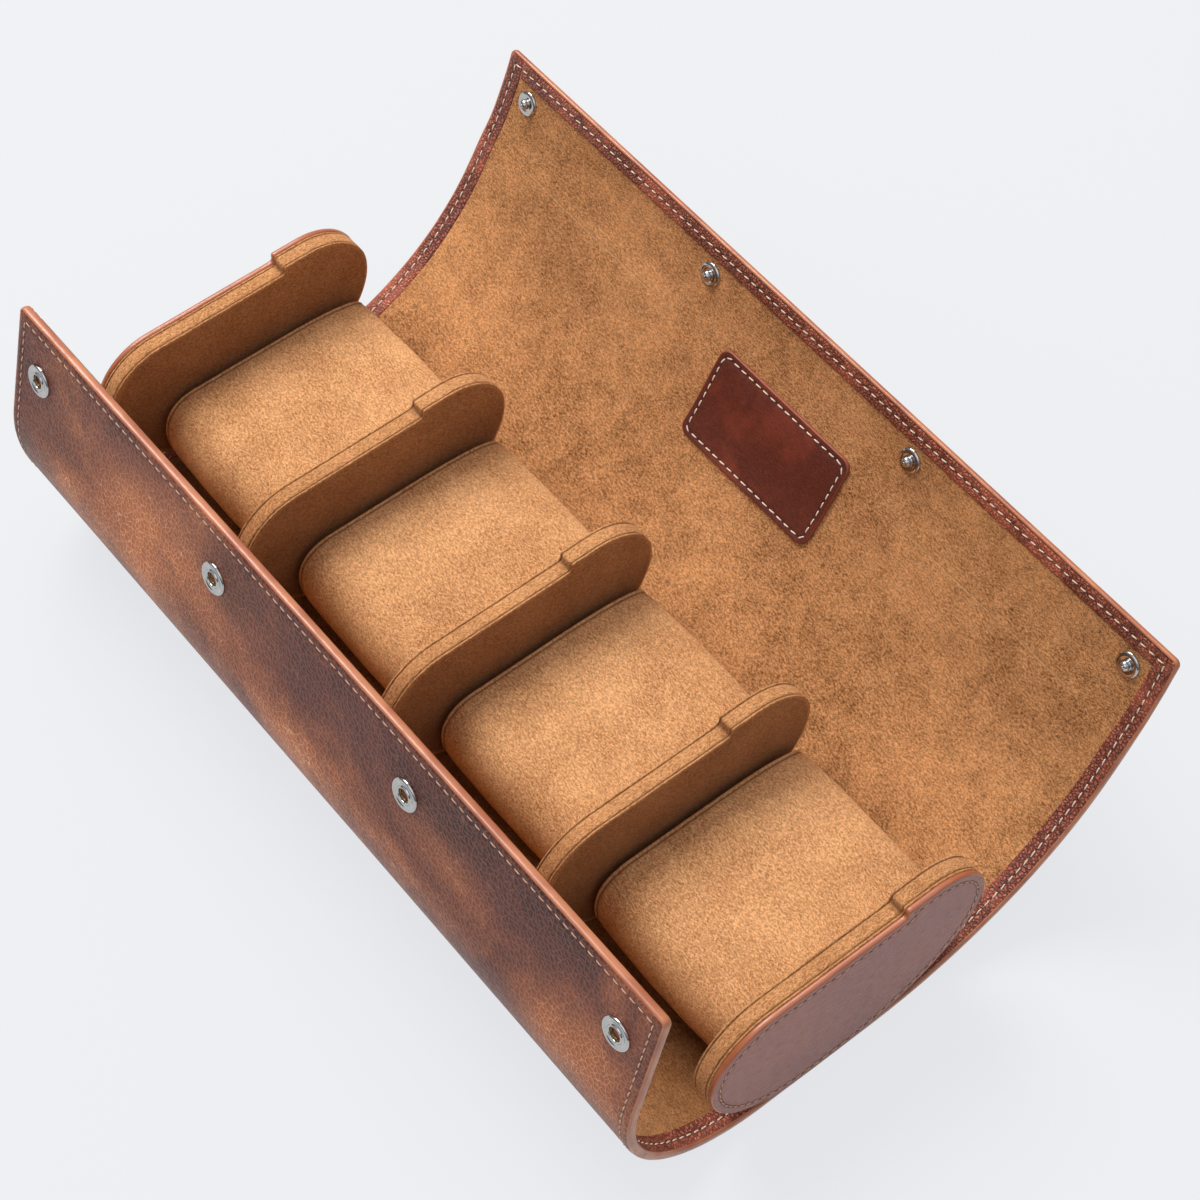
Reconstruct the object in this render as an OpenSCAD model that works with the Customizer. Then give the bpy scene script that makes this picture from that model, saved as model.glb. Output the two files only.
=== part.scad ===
// Watch roll for four watches, lying open on a table.
// X runs along the roll, the front flap faces -Y, the back flap leans towards +Y.
// The origin is on the table, under the middle of the flat base.

/* [Wrap] */
// Length of the wrap along X
roll_l = 340; // [300:1:380]
// Thickness of the outer leather
leather_t = 1.4; // [1.2:0.1:2.2]
// Thickness of the stiffener boards
board_t = 1.2; // [0.8:0.1:1.8]
// Thickness of the suede lining
lining_t = 1; // [0.8:0.1:1.6]
// Width of the leather binding round the rim of the lining
binding_w = 8; // [5:0.5:12]
// Half width of the flat base that rests on the table
base_half = 23; // [20:0.5:28]
// Clearance at each fold of the wrap
fold_gap = 0.35; // [0.25:0.05:0.5]

/* [Front flap] */
// Radius of the bend from the base up into the front flap
front_bend_r = 56; // [50:1:62]
// Angle of that bend, past upright
front_bend_deg = 104; // [98:1:108]
// Straight length of the front flap above the bend
front_straight = 47; // [40:1:56]
// Distance along the wrap from the middle of the base to the lower front fold
front_fold_1 = 21; // [16:0.5:26]
// Distance from there to the next front fold
front_fold_2 = 50; // [44:0.5:56]
// Distance from there to the last front fold
front_fold_3 = 30; // [24:0.5:36]

/* [Back flap] */
// Radius of the first rise of the back flap
back_rise_r = 120; // [105:1:135]
// Angle of the first rise
back_rise_deg = 33; // [28:1:38]
// Radius of the second rise
back_mid_r = 108; // [95:1:125]
// Angle of the second rise
back_mid_deg = 25; // [20:1:30]
// Radius of the curved back flap
back_top_r = 225; // [180:5:300]
// Length of the curved back flap along its curve
back_top_l = 55; // [48:1:62]
// Distance along the wrap from the middle of the base to the lower back fold
back_fold_1 = 44; // [36:0.5:48]
// Distance from there to the next back fold
back_fold_2 = 42.5; // [40:0.5:46]
// Distance from there to the third back fold
back_fold_3 = 24.5; // [20:0.5:28]
// Distance from there to the last back fold
back_fold_4 = 11; // [10:0.5:13]
// Width of the softer zone along the edge of the back flap, where there is no board
soft_edge = 37; // [33:0.5:42]
// Distance over which the lining steps down at the end of the board
soft_step = 4; // [2:0.5:6]

/* [Dividers] */
// Thickness of a divider
divider_t = 7; // [5:0.5:9]
// How far the end caps stand proud of each end of the wrap
cap_proud = 1; // [0:0.5:2]
// Thickness of a leather end cap
cap_t = 2.2; // [1.6:0.1:3]
// Front end of a divider in Y
divider_front = -46.5; // [-50:0.5:-42]
// Back end of a divider in Y
divider_back = 67; // [62:0.5:70]
// Height of the back part of a divider above the lining
divider_h = 65.8; // [60:0.2:70]
// Depth of the recess in its top edge for the front flap
recess_h = 3.6; // [2:0.2:5]
// Place of the step between the recess and the back part in Y
step_y = 32; // [26:0.5:34]
// Height of the foremost point of a divider above the lining
front_nose_z = 37; // [32:1:42]
// Height of the rearmost point of a divider above the lining
back_nose_z = 43; // [38:1:48]
// Radius, along Y, of the front top corner of a divider
front_corner = 24.5; // [18:0.5:28]
// Radius, along Y, of the back top corner of a divider
back_corner = 24; // [18:0.5:28]
// Front end of the flat on which a divider stands, in Y
foot_front = -5; // [-10:0.5:-2]
// Back end of that flat in Y
foot_back = 7; // [4:0.5:12]
// Thickness of the suede over a divider's board
suede_t = 0.9; // [0.6:0.1:1.2]
// Depth of the sewn seam grooves round a divider's edge band
seam_d = 0.4; // [0.2:0.1:0.6]

/* [Pillows] */
// Gap between a pillow and the dividers beside it
pillow_side_gap = 2.6; // [1:0.1:5]
// Gap under a pillow
pillow_seat_gap = 0.3; // [0.2:0.05:0.5]
// Front end of a pillow in Y
pillow_front = -29; // [-33:0.5:-25]
// Back end of a pillow in Y
pillow_back = 62.5; // [56:0.5:64]
// Height of a pillow
pillow_h = 36.5; // [32:0.5:40]
// Height of the rearmost point of a pillow above its underside
pillow_nose_z = 25; // [22:0.5:27]
// How far the suede sides of a pillow are drawn in at the seams
pillow_draw = 0.5; // [0.2:0.1:1]
// How far the sides of a pillow bulge out
pillow_bulge = 1.2; // [0.5:0.1:1.6]
// How far the crown of a pillow rises over its seams
pillow_crown = 1.6; // [0.8:0.1:2.4]
// Width of the seam allowance that shows beside each pillow side
pillow_seam_w = 1.8; // [1.2:0.1:3]
// Least thickness of suede and wadding over a pillow's foam core
pillow_wadding = 5; // [3:0.5:7]

/* [Snaps and label] */
// Distance of the outer snaps from the ends of the wrap
snap_end = 15.05; // [12:0.05:22]
// Distance of the sockets from the edge of the front flap
socket_edge = 22.3; // [18:0.1:26]
// Distance of the studs from the edge of the back flap
stud_edge = 14.5; // [12:0.1:18]
// Diameter of a socket's flange
socket_d = 12.2; // [9:0.1:14]
// Height of a socket over the leather
socket_h = 1.2; // [0.8:0.1:1.3]
// Bore of a socket, inside its brass ring
socket_bore = 4.8; // [4.2:0.1:5.4]
// Wall of a socket's barrel
barrel_wall = 0.5; // [0.4:0.05:0.6]
// Wall of the brass ring inside a socket
ring_wall = 0.3; // [0.2:0.05:0.4]
// Diameter of a stud's flange
stud_d = 9.4; // [7.6:0.1:10.4]
// Height of a stud's flange over the lining
stud_flange_h = 0.8; // [0.6:0.1:0.9]
// Height of a stud's head over the lining
stud_h = 3.2; // [2.6:0.1:3.4]
// Diameter of a stud's head
stud_head_d = 3.8; // [3:0.1:4]
// Diameter of a stud's neck and of the rivet post under it
stud_neck_d = 3; // [2.4:0.1:3.2]
// Diameter of the rivet back inside the laminate
rivet_d = 8; // [6:0.1:9]
// Thickness of the rivet back
rivet_t = 0.5; // [0.3:0.1:0.7]
// Length of the label patch along X
label_l = 67; // [50:1:90]
// Height of the label patch along the flap
label_h = 38; // [24:1:40]
// Distance of the label patch from the edge of the back flap
label_edge = 32; // [24:1:34]
// Thickness of the label patch
label_t = 1; // [0.6:0.1:1.4]
// Corner radius of the label patch
label_r = 5; // [2:0.5:8]

/* [Hidden] */

wrap_t = leather_t + board_t + lining_t;
fold_r = wrap_t / 2;
bead_r = fold_r - 0.05;
curve_step = 5;
overlap = 0.5;
rivet_seat = rivet_d * rivet_d / (8 * back_top_r) + 0.02;
snap_count = 4;
snap_pitch = (roll_l - 2 * snap_end) / (snap_count - 1);
divider_count = 5;
pillow_count = divider_count - 1;
leather_colour = [0.36, 0.17, 0.11];
binding_colour = [0.45, 0.2, 0.14];
suede_colour = [0.72, 0.5, 0.29];
board_colour = [0.6, 0.55, 0.48];
chrome_colour = [0.85, 0.86, 0.88];
brass_colour = [0.6, 0.5, 0.3];
foam_colour = [0.9, 0.88, 0.8];

// A flap's path is a list of stretches, each a length and a curvature, walked from the middle of the base
front_path = [
    [base_half, 0],
    [front_bend_r * front_bend_deg * PI / 180, 1 / front_bend_r],
    [front_straight, 0]
];
back_path = [
    [base_half, 0],
    [back_rise_r * back_rise_deg * PI / 180, 1 / back_rise_r],
    [back_mid_r * back_mid_deg * PI / 180, 1 / back_mid_r],
    [back_top_l, 1 / back_top_r]
];
function total(lengths, i = 0) = i == len(lengths) ? 0 : lengths[i] + total(lengths, i + 1);
front_l = total([for (p = front_path) p[0]]);
back_l = total([for (p = back_path) p[0]]);
front_folds = [front_fold_1, front_fold_1 + front_fold_2, front_fold_1 + front_fold_2 + front_fold_3];
back_folds = [
    back_fold_1,
    back_fold_1 + back_fold_2,
    back_fold_1 + back_fold_2 + back_fold_3,
    back_fold_1 + back_fold_2 + back_fold_3 + back_fold_4
];

// Place and heading after a stretch of length l and curvature k
function walk(at, l, k) = k == 0
    ? [at[0] + l * cos(at[2]), at[1] + l * sin(at[2]), at[2]]
    : let (turn = l * k * 180 / PI)
        [at[0] + (sin(at[2] + turn) - sin(at[2])) / k, at[1] - (cos(at[2] + turn) - cos(at[2])) / k, at[2] + turn];

// Place and heading on the outer face of the wrap at a distance s along a path
function along(path, s, at = [0, 0, 0], i = 0) = (i == len(path) - 1 || s <= path[i][0])
    ? walk(at, s, path[i][1])
    : along(path, s - path[i][0], walk(at, path[i][0], path[i][1]), i + 1);

// The same place, a depth d in from the outer face
function inside(path, s, d) = let (p = along(path, s)) [p[0] - d * sin(p[2]), p[1] + d * cos(p[2])];

// How far the lining side drops at a distance s, beyond the end of the back flap's board
soft_s = back_l - soft_edge;
function drop(path, s) = path == back_path ? board_t * max(0, min(1, (s - soft_s) / soft_step)) : 0;

// The same place at the depth of a layer, which drops with the lining side unless it is the leather
function layer_point(path, s, d) = inside(path, s, d > leather_t ? d - drop(path, s) : d);

function sorted(v) = len(v) <= 1 ? v : let (middle = v[0]) concat(
    sorted([for (x = v) if (x < middle) x]), [middle], sorted([for (x = v) if (x > middle) x])
);

// Places along a path where its layers start, stop or drop
function marks(path) = path == back_path
    ? sorted(concat(back_folds, [
        back_l - label_edge - label_h, back_l - label_edge, soft_s, soft_s + soft_step, back_l - binding_w
    ]))
    : concat(front_folds, [front_l - binding_w]);

// Steps between two marks, the same for every layer, so that their faces lie on each other
function steps(path) = let (
    ends = concat([0], marks(path), [total([for (p = path) p[0]])])
) [for (i = [1:len(ends) - 1]) let (a = ends[i - 1], n = max(1, ceil((ends[i] - a) / curve_step)))
    for (j = [1:n]) a + (ends[i] - a) * j / n];

// Stations from s0 to s1
function stations(path, s0, s1) = concat([s0], [for (s = steps(path)) if (s > s0 + 0.01 && s < s1 - 0.01) s], [s1]);

// One layer of the wrap, from depth d0 to d1, between the distances s0 and s1
module band(path, s0, s1, d0, d1) {
    s = stations(path, s0, s1);
    last = len(s) - 1;
    polygon(concat(
        [for (i = [0:last]) layer_point(path, s[i], d0)],
        [for (i = [0:last]) layer_point(path, s[last - i], d1)]
    ));
}

// The round of a fold, centred half way through the wrap
module fold_circle(path, s, r) {
    translate(inside(path, s, fold_r)) circle(r = r, $fn = 48);
}

// A layer of one panel: hollow where it meets the panel before it, round where it carries the next
module panel_layer(path, s0, s1, d0, d1, hollow, carries) {
    difference() {
        union() {
            band(path, s0, s1, d0, d1);
            if (carries) intersection() {
                band(path, s1 - overlap, s1 + fold_r + overlap, d0, d1);
                fold_circle(path, s1, bead_r);
            }
        }
        if (hollow) fold_circle(path, s0, bead_r + fold_gap);
    }
}

// Stands a drawn cross-section along X, from x0 to x1
module along_x(x0, x1) {
    translate([x0, 0, 0]) rotate([90, 0, 90]) linear_extrude(height = x1 - x0) children();
}

// The front half of the wrap is drawn towards +Y and turned to the front
module side(front) {
    if (front) mirror([0, 1, 0]) children();
    else children();
}

module leather_panel(path, s0, s1, front, carries) {
    color(leather_colour) side(front) along_x(-roll_l / 2, roll_l / 2)
        panel_layer(path, s0, s1, 0, leather_t, true, carries);
}

module board_panel(path, s0, s1, front, carries, rim) {
    color(board_colour) side(front) along_x(-roll_l / 2 + binding_w, roll_l / 2 - binding_w)
        panel_layer(path, s0, s1 - rim, leather_t, leather_t + board_t, true, carries);
}

module lining_panel(path, s0, s1, front, carries, rim) {
    color(suede_colour) side(front) along_x(-roll_l / 2 + binding_w, roll_l / 2 - binding_w)
        panel_layer(path, s0, s1 - rim, leather_t + board_t, wrap_t, true, carries);
}

module binding_panel(path, s0, s1, front, carries, rim) {
    color(binding_colour) side(front) {
        for (x = [-roll_l / 2, roll_l / 2 - binding_w]) along_x(x, x + binding_w)
            panel_layer(path, s0, s1, leather_t, wrap_t, true, carries);
        if (rim > 0) along_x(-roll_l / 2 + binding_w - overlap, roll_l / 2 - binding_w + overlap)
            band(path, s1 - rim, s1, leather_t, wrap_t);
    }
}

// The base carries a fold on both sides
module base_layer(d0, d1) {
    panel_layer(back_path, -overlap, back_folds[0], d0, d1, false, true);
    mirror([1, 0]) panel_layer(front_path, -overlap, front_folds[0], d0, d1, false, true);
}

module base_leather() {
    color(leather_colour) along_x(-roll_l / 2, roll_l / 2) base_layer(0, leather_t);
}

module base_board() {
    color(board_colour) along_x(-roll_l / 2 + binding_w, roll_l / 2 - binding_w)
        base_layer(leather_t, leather_t + board_t);
}

module base_lining() {
    color(suede_colour) along_x(-roll_l / 2 + binding_w, roll_l / 2 - binding_w)
        base_layer(leather_t + board_t, wrap_t);
}

module base_binding() {
    color(binding_colour) for (x = [-roll_l / 2, roll_l / 2 - binding_w])
        along_x(x, x + binding_w) base_layer(leather_t, wrap_t);
}

// Puts a piece on the wrap at distance s along a path and depth d, its Z axis out of the lining
module on_wrap(path, s, d, front) {
    p = along(path, s);
    q = inside(path, s, d);
    side(front) translate([0, q[0], q[1]]) rotate([p[2], 0, 0]) children();
}

socket_s = front_l - socket_edge;
stud_s = back_l - stud_edge;
barrel_d = socket_bore + 2 * (ring_wall + barrel_wall);
snap_xs = [for (i = [0:snap_count - 1]) (i - (snap_count - 1) / 2) * snap_pitch];

module at_snaps() {
    for (x = snap_xs) translate([x, 0, 0]) children();
}

// Bores through the front flap's leather and board for the sockets
module socket_bores() {
    on_wrap(front_path, socket_s, -overlap, true) at_snaps()
        cylinder(d = barrel_d, h = 2 * overlap + leather_t + board_t, $fn = 48);
}

// Bores through the back flap's lining for the studs and their rivets
module stud_bores() {
    on_wrap(back_path, stud_s, leather_t, false) at_snaps() {
        translate([0, 0, -overlap]) cylinder(d = rivet_d, h = rivet_seat + rivet_t + overlap, $fn = 48);
        cylinder(d = stud_neck_d, h = lining_t + overlap, $fn = 48);
    }
}

module front_flap_leather() {
    difference() {
        leather_panel(front_path, front_folds[2], front_l, true, false);
        socket_bores();
    }
}

module front_flap_board() {
    difference() {
        board_panel(front_path, front_folds[2], front_l, true, false, binding_w);
        socket_bores();
    }
}

module back_flap_lining() {
    difference() {
        lining_panel(back_path, back_folds[3], back_l, false, false, binding_w);
        stud_bores();
    }
}

// Quarter of a superellipse round the centre c, from angle a0 to a1; power 2 is an ellipse
function corner(c, ry, rz, a0, a1, power = 2, n = 10) = [
    for (i = [0:n]) let (a = a0 + (a1 - a0) * i / n)
        [
            c[0] + ry * sign(cos(a)) * pow(abs(cos(a)), 2 / power),
            c[1] + rz * sign(sin(a)) * pow(abs(sin(a)), 2 / power)
        ]
];

// Outline of a divider, drawn in by an even margin
function divider_outline(m) = let (
    foot_z = wrap_t + m,
    top_z = wrap_t + divider_h - m,
    low_z = top_z - recess_h,
    front_z = wrap_t + front_nose_z,
    back_z = wrap_t + back_nose_z,
    front_y = divider_front + m,
    back_y = divider_back - m
) concat(
    corner([foot_front, front_z], foot_front - front_y, front_z - foot_z, 270, 180),
    corner([front_y + front_corner, front_z], front_corner, low_z - front_z, 180, 90),
    [[step_y + m, low_z]],
    [[step_y + m, top_z]],
    corner([back_y - back_corner, back_z], back_corner, top_z - back_z, 90, 0),
    corner([foot_back, back_z], back_y - foot_back, back_z - foot_z, 0, -90)
);

cap_x = roll_l / 2 + cap_proud;
divider_pitch = 2 * (cap_x - cap_t - divider_t / 2) / (divider_count - 1);
function divider_x(i) = (i - (divider_count + 1) / 2) * divider_pitch;

module divider_board_solid(i) {
    along_x(divider_x(i) - divider_t / 2 + suede_t, divider_x(i) + divider_t / 2 - suede_t)
        polygon(divider_outline(suede_t));
}

// Suede cover of a divider: two faces and an edge band, with a seam groove between them
module divider(i) {
    x0 = divider_x(i) - divider_t / 2;
    x1 = divider_x(i) + divider_t / 2;
    color(suede_colour) difference() {
        union() {
            along_x(x0, x1) polygon(divider_outline(seam_d));
            along_x(x0, x0 + suede_t) polygon(divider_outline(seam_d / 2));
            along_x(x1 - suede_t, x1) polygon(divider_outline(seam_d / 2));
            along_x(x0 + suede_t + seam_d, x1 - suede_t - seam_d) polygon(divider_outline(0));
        }
        divider_board_solid(i);
    }
}

module divider_boards() {
    color(board_colour) for (i = [1:divider_count]) divider_board_solid(i);
}

module end_cap(right) {
    color(leather_colour) mirror([right ? 0 : 1, 0, 0])
        along_x(cap_x - cap_t, cap_x) polygon(divider_outline(0));
}

pillow_w = divider_pitch - divider_t - 2 * pillow_side_gap;
pillow_l = pillow_back - pillow_front;
pillow_z = wrap_t + pillow_seat_gap;
function pillow_x(i) = (divider_x(i) + divider_x(i + 1)) / 2;

// Outline of a pillow seen from its side, drawn in by a margin
function pillow_outline(m, n) = let (
    front_mid = pillow_front + pillow_l * 0.175,
    back_mid = pillow_front + pillow_l * 0.344,
    foot_mid = pillow_front + pillow_l * 0.47,
    front_z = pillow_z + pillow_h * 0.54,
    back_z = pillow_z + pillow_nose_z,
    top_z = pillow_z + pillow_h - m,
    low_z = pillow_z + m
) concat(
    corner([front_mid, front_z], front_mid - pillow_front - m, front_z - low_z, 270, 180, 2.3, n),
    corner([front_mid, front_z], front_mid - pillow_front - m, top_z - front_z, 180, 90, 2.3, n),
    corner([back_mid, back_z], pillow_back - back_mid - m, top_z - back_z, 90, 0, 3, n),
    corner([foot_mid, back_z], pillow_back - foot_mid - m, back_z - low_z, 0, -90, 1.6, n)
);

// Places across a pillow, with how far its outline is drawn in at each
pillow_rings = let (w = pillow_w / 2, c = pillow_crown, g = pillow_draw, s = pillow_seam_w) [
    [-w + pillow_bulge, 13],
    [-w + 0.3, 8],
    [-w, 4.5],
    [-w + 0.2, c + 0.8],
    [-w + s * 0.5, c],
    [-w + s, c + g],
    [-w + s * 1.5, c - 0.1],
    [-w * 0.75, c * 0.5],
    [-w * 0.4, c * 0.12],
    [0, 0],
    [w * 0.4, c * 0.12],
    [w * 0.75, c * 0.5],
    [w - s * 1.5, c - 0.1],
    [w - s, c + g],
    [w - s * 0.5, c],
    [w - 0.2, c + 0.8],
    [w, 4.5],
    [w - 0.3, 8],
    [w - pillow_bulge, 13]
];

// Joins rings of equal counts of points, each drawn at its own place along X, into one closed skin
module skin(rings) {
    n = len(rings[0]);
    last = len(rings) - 1;
    polyhedron(
        points = [for (ring = rings) each ring],
        faces = concat(
            [for (r = [0:last - 1]) for (i = [0:n - 1]) for (t = [0:1])
                let (j = (i + 1) % n, a = r * n + i, b = r * n + j, c = a + n, d = b + n)
                    t == 0 ? [a, b, d] : [a, d, c]],
            [[for (i = [0:n - 1]) n - 1 - i]],
            [[for (i = [0:n - 1]) last * n + i]]
        )
    );
}

core_w = pillow_w - 2 * pillow_wadding;

module pillow_core_solid(i) {
    along_x(pillow_x(i) - core_w / 2, pillow_x(i) + core_w / 2)
        polygon(pillow_outline(pillow_wadding + pillow_crown, 5));
}

module pillow_cover(i) {
    color(suede_colour) difference() {
        skin([for (ring = pillow_rings) [
            for (p = pillow_outline(ring[1], 8)) [pillow_x(i) + ring[0], p[0], p[1]]
        ]]);
        pillow_core_solid(i);
    }
}

module pillow_core(i) {
    color(foam_colour) pillow_core_solid(i);
}

// Sockets on the outer face of the front flap, their barrels through the leather and board
module snap_sockets() {
    bore_r = socket_bore / 2 + ring_wall;
    flange_t = socket_h * 0.45;
    color(chrome_colour) on_wrap(front_path, socket_s, 0, true) at_snaps() mirror([0, 0, 1])
        rotate_extrude($fn = 48) {
            translate([bore_r, -leather_t - board_t]) square([barrel_wall, leather_t + board_t + overlap]);
            translate([bore_r, 0]) square([socket_d / 2 - bore_r - flange_t, flange_t]);
            intersection() {
                translate([socket_d / 2 - flange_t, 0]) circle(r = flange_t, $fn = 24);
                translate([bore_r, 0]) square([socket_d, socket_h]);
            }
            translate([bore_r, 0]) square([socket_d * 0.12, socket_h]);
        }
}

module snap_rings() {
    ring_depth = leather_t + board_t;
    floor_t = 0.4;
    color(brass_colour) on_wrap(front_path, socket_s, 0, true) at_snaps() difference() {
        cylinder(r = socket_bore / 2 + ring_wall, h = ring_depth, $fn = 48);
        translate([0, 0, -overlap]) cylinder(d = socket_bore, h = ring_depth - floor_t + overlap, $fn = 48);
    }
}

// Studs on the lining of the back flap
module snap_studs() {
    neck_r = stud_neck_d / 2;
    head_r = stud_head_d / 2;
    color(chrome_colour) on_wrap(back_path, stud_s, leather_t + lining_t, false) at_snaps()
        rotate_extrude($fn = 48) {
            translate([0, rivet_seat + rivet_t - lining_t])
                square([neck_r, lining_t - rivet_seat - rivet_t + stud_h - head_r]);
            square([stud_d / 2 - stud_flange_h / 2, stud_flange_h]);
            intersection() {
                translate([stud_d / 2 - stud_flange_h, 0]) circle(r = stud_flange_h, $fn = 24);
                square([stud_d, stud_flange_h]);
            }
            intersection() {
                translate([0, stud_h - head_r]) circle(r = head_r, $fn = 32);
                square([stud_head_d, stud_h]);
            }
        }
}

module snap_rivets() {
    color(brass_colour) on_wrap(back_path, stud_s, leather_t + rivet_seat, false) at_snaps()
        cylinder(d = rivet_d, h = rivet_t, $fn = 48);
}

// Leather patch on the lining, its corners rounded
module label_patch() {
    s1 = back_l - label_edge;
    color(binding_colour) intersection() {
        along_x(-label_l / 2, label_l / 2) band(back_path, s1 - label_h, s1, wrap_t, wrap_t + label_t);
        on_wrap(back_path, s1 - label_h / 2, wrap_t - label_t * 3, false)
            linear_extrude(height = label_t * 7) {
                square([label_l - 2 * label_r, label_h + label_r], center = true);
                square([label_l, label_h - 2 * label_r], center = true);
                for (x = [-1, 1]) for (y = [-1, 1])
                    translate([x * (label_l / 2 - label_r), y * (label_h / 2 - label_r)])
                        circle(r = label_r, $fn = 48);
            }
    }
}

base_leather();
base_board();
base_lining();
base_binding();

leather_panel(front_path, front_folds[0], front_folds[1], true, true);  // front_lower_leather
board_panel(front_path, front_folds[0], front_folds[1], true, true, 0);  // front_lower_board
lining_panel(front_path, front_folds[0], front_folds[1], true, true, 0);  // front_lower_lining
binding_panel(front_path, front_folds[0], front_folds[1], true, true, 0);  // front_lower_binding
leather_panel(front_path, front_folds[1], front_folds[2], true, true);  // front_shoulder_leather
board_panel(front_path, front_folds[1], front_folds[2], true, true, 0);  // front_shoulder_board
lining_panel(front_path, front_folds[1], front_folds[2], true, true, 0);  // front_shoulder_lining
binding_panel(front_path, front_folds[1], front_folds[2], true, true, 0);  // front_shoulder_binding
front_flap_leather();
front_flap_board();
lining_panel(front_path, front_folds[2], front_l, true, false, binding_w);  // front_flap_lining
binding_panel(front_path, front_folds[2], front_l, true, false, binding_w);  // front_flap_binding

leather_panel(back_path, back_folds[0], back_folds[1], false, true);  // back_lower_leather
board_panel(back_path, back_folds[0], back_folds[1], false, true, 0);  // back_lower_board
lining_panel(back_path, back_folds[0], back_folds[1], false, true, 0);  // back_lower_lining
binding_panel(back_path, back_folds[0], back_folds[1], false, true, 0);  // back_lower_binding
leather_panel(back_path, back_folds[1], back_folds[2], false, true);  // back_middle_leather
board_panel(back_path, back_folds[1], back_folds[2], false, true, 0);  // back_middle_board
lining_panel(back_path, back_folds[1], back_folds[2], false, true, 0);  // back_middle_lining
binding_panel(back_path, back_folds[1], back_folds[2], false, true, 0);  // back_middle_binding
leather_panel(back_path, back_folds[2], back_folds[3], false, true);  // back_shoulder_leather
board_panel(back_path, back_folds[2], back_folds[3], false, true, 0);  // back_shoulder_board
lining_panel(back_path, back_folds[2], back_folds[3], false, true, 0);  // back_shoulder_lining
binding_panel(back_path, back_folds[2], back_folds[3], false, true, 0);  // back_shoulder_binding
leather_panel(back_path, back_folds[3], back_l, false, false);  // back_flap_leather
board_panel(back_path, back_folds[3], back_l, false, false, soft_edge);  // back_flap_board
back_flap_lining();
binding_panel(back_path, back_folds[3], back_l, false, false, binding_w);  // back_flap_binding

for (i = [1:divider_count]) divider(i);
divider_boards();
end_cap(false);  // end_cap_left
end_cap(true);  // end_cap_right
for (i = [1:pillow_count]) pillow_cover(i);
for (i = [1:pillow_count]) pillow_core(i);
snap_sockets();
snap_rings();
snap_studs();
snap_rivets();
label_patch();
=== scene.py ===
"""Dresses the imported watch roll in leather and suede, and sets up its studio floor, camera and lamps."""

from __future__ import annotations

import logging
import math
import random
from dataclasses import dataclass, field
from enum import Enum
from typing import Callable, Iterable, Sequence

import bpy
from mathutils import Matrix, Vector, noise

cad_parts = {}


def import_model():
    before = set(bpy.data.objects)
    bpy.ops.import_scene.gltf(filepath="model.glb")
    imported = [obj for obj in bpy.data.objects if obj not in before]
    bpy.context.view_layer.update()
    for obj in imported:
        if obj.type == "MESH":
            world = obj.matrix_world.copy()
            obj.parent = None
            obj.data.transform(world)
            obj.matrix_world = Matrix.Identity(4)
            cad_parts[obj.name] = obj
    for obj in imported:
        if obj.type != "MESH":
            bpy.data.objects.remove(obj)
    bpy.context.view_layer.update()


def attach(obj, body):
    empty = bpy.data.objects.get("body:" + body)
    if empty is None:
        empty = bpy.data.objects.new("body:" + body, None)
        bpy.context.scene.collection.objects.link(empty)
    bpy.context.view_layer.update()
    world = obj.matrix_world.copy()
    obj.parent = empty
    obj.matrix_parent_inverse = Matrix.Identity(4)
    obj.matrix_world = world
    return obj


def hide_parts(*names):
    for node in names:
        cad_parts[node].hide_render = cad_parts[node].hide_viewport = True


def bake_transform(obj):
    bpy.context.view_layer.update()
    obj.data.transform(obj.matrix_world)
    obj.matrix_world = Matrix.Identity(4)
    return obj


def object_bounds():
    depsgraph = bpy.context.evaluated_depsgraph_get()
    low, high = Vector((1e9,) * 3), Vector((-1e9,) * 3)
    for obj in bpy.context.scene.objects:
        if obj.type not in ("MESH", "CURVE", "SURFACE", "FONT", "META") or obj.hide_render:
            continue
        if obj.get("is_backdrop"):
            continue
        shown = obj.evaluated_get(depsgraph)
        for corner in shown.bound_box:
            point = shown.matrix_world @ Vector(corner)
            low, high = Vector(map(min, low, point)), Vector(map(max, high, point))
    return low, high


LOG = logging.getLogger("watch_roll")
MM = 0.001
ACROSS = Vector((1.0, 0.0, 0.0))
Pair = tuple[float, float]
Point = tuple[float, float, float]
Rgb = tuple[int, int, int]
Inputs = dict[str | int, object]
Node = bpy.types.Node
Piece = bpy.types.Object
Socket = bpy.types.NodeSocket
Sockets = dict[str, Socket]


def srgb(colour: Rgb) -> tuple[float, float, float, float]:
    """Returns a display colour, 0 to 255 for each channel, as linear RGBA."""
    shares = [value / 255 for value in colour]
    red, green, blue = (c / 12.92 if c <= 0.04045 else ((c + 0.055) / 1.055) ** 2.4 for c in shares)
    return red, green, blue, 1.0


# Shader groups


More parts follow.
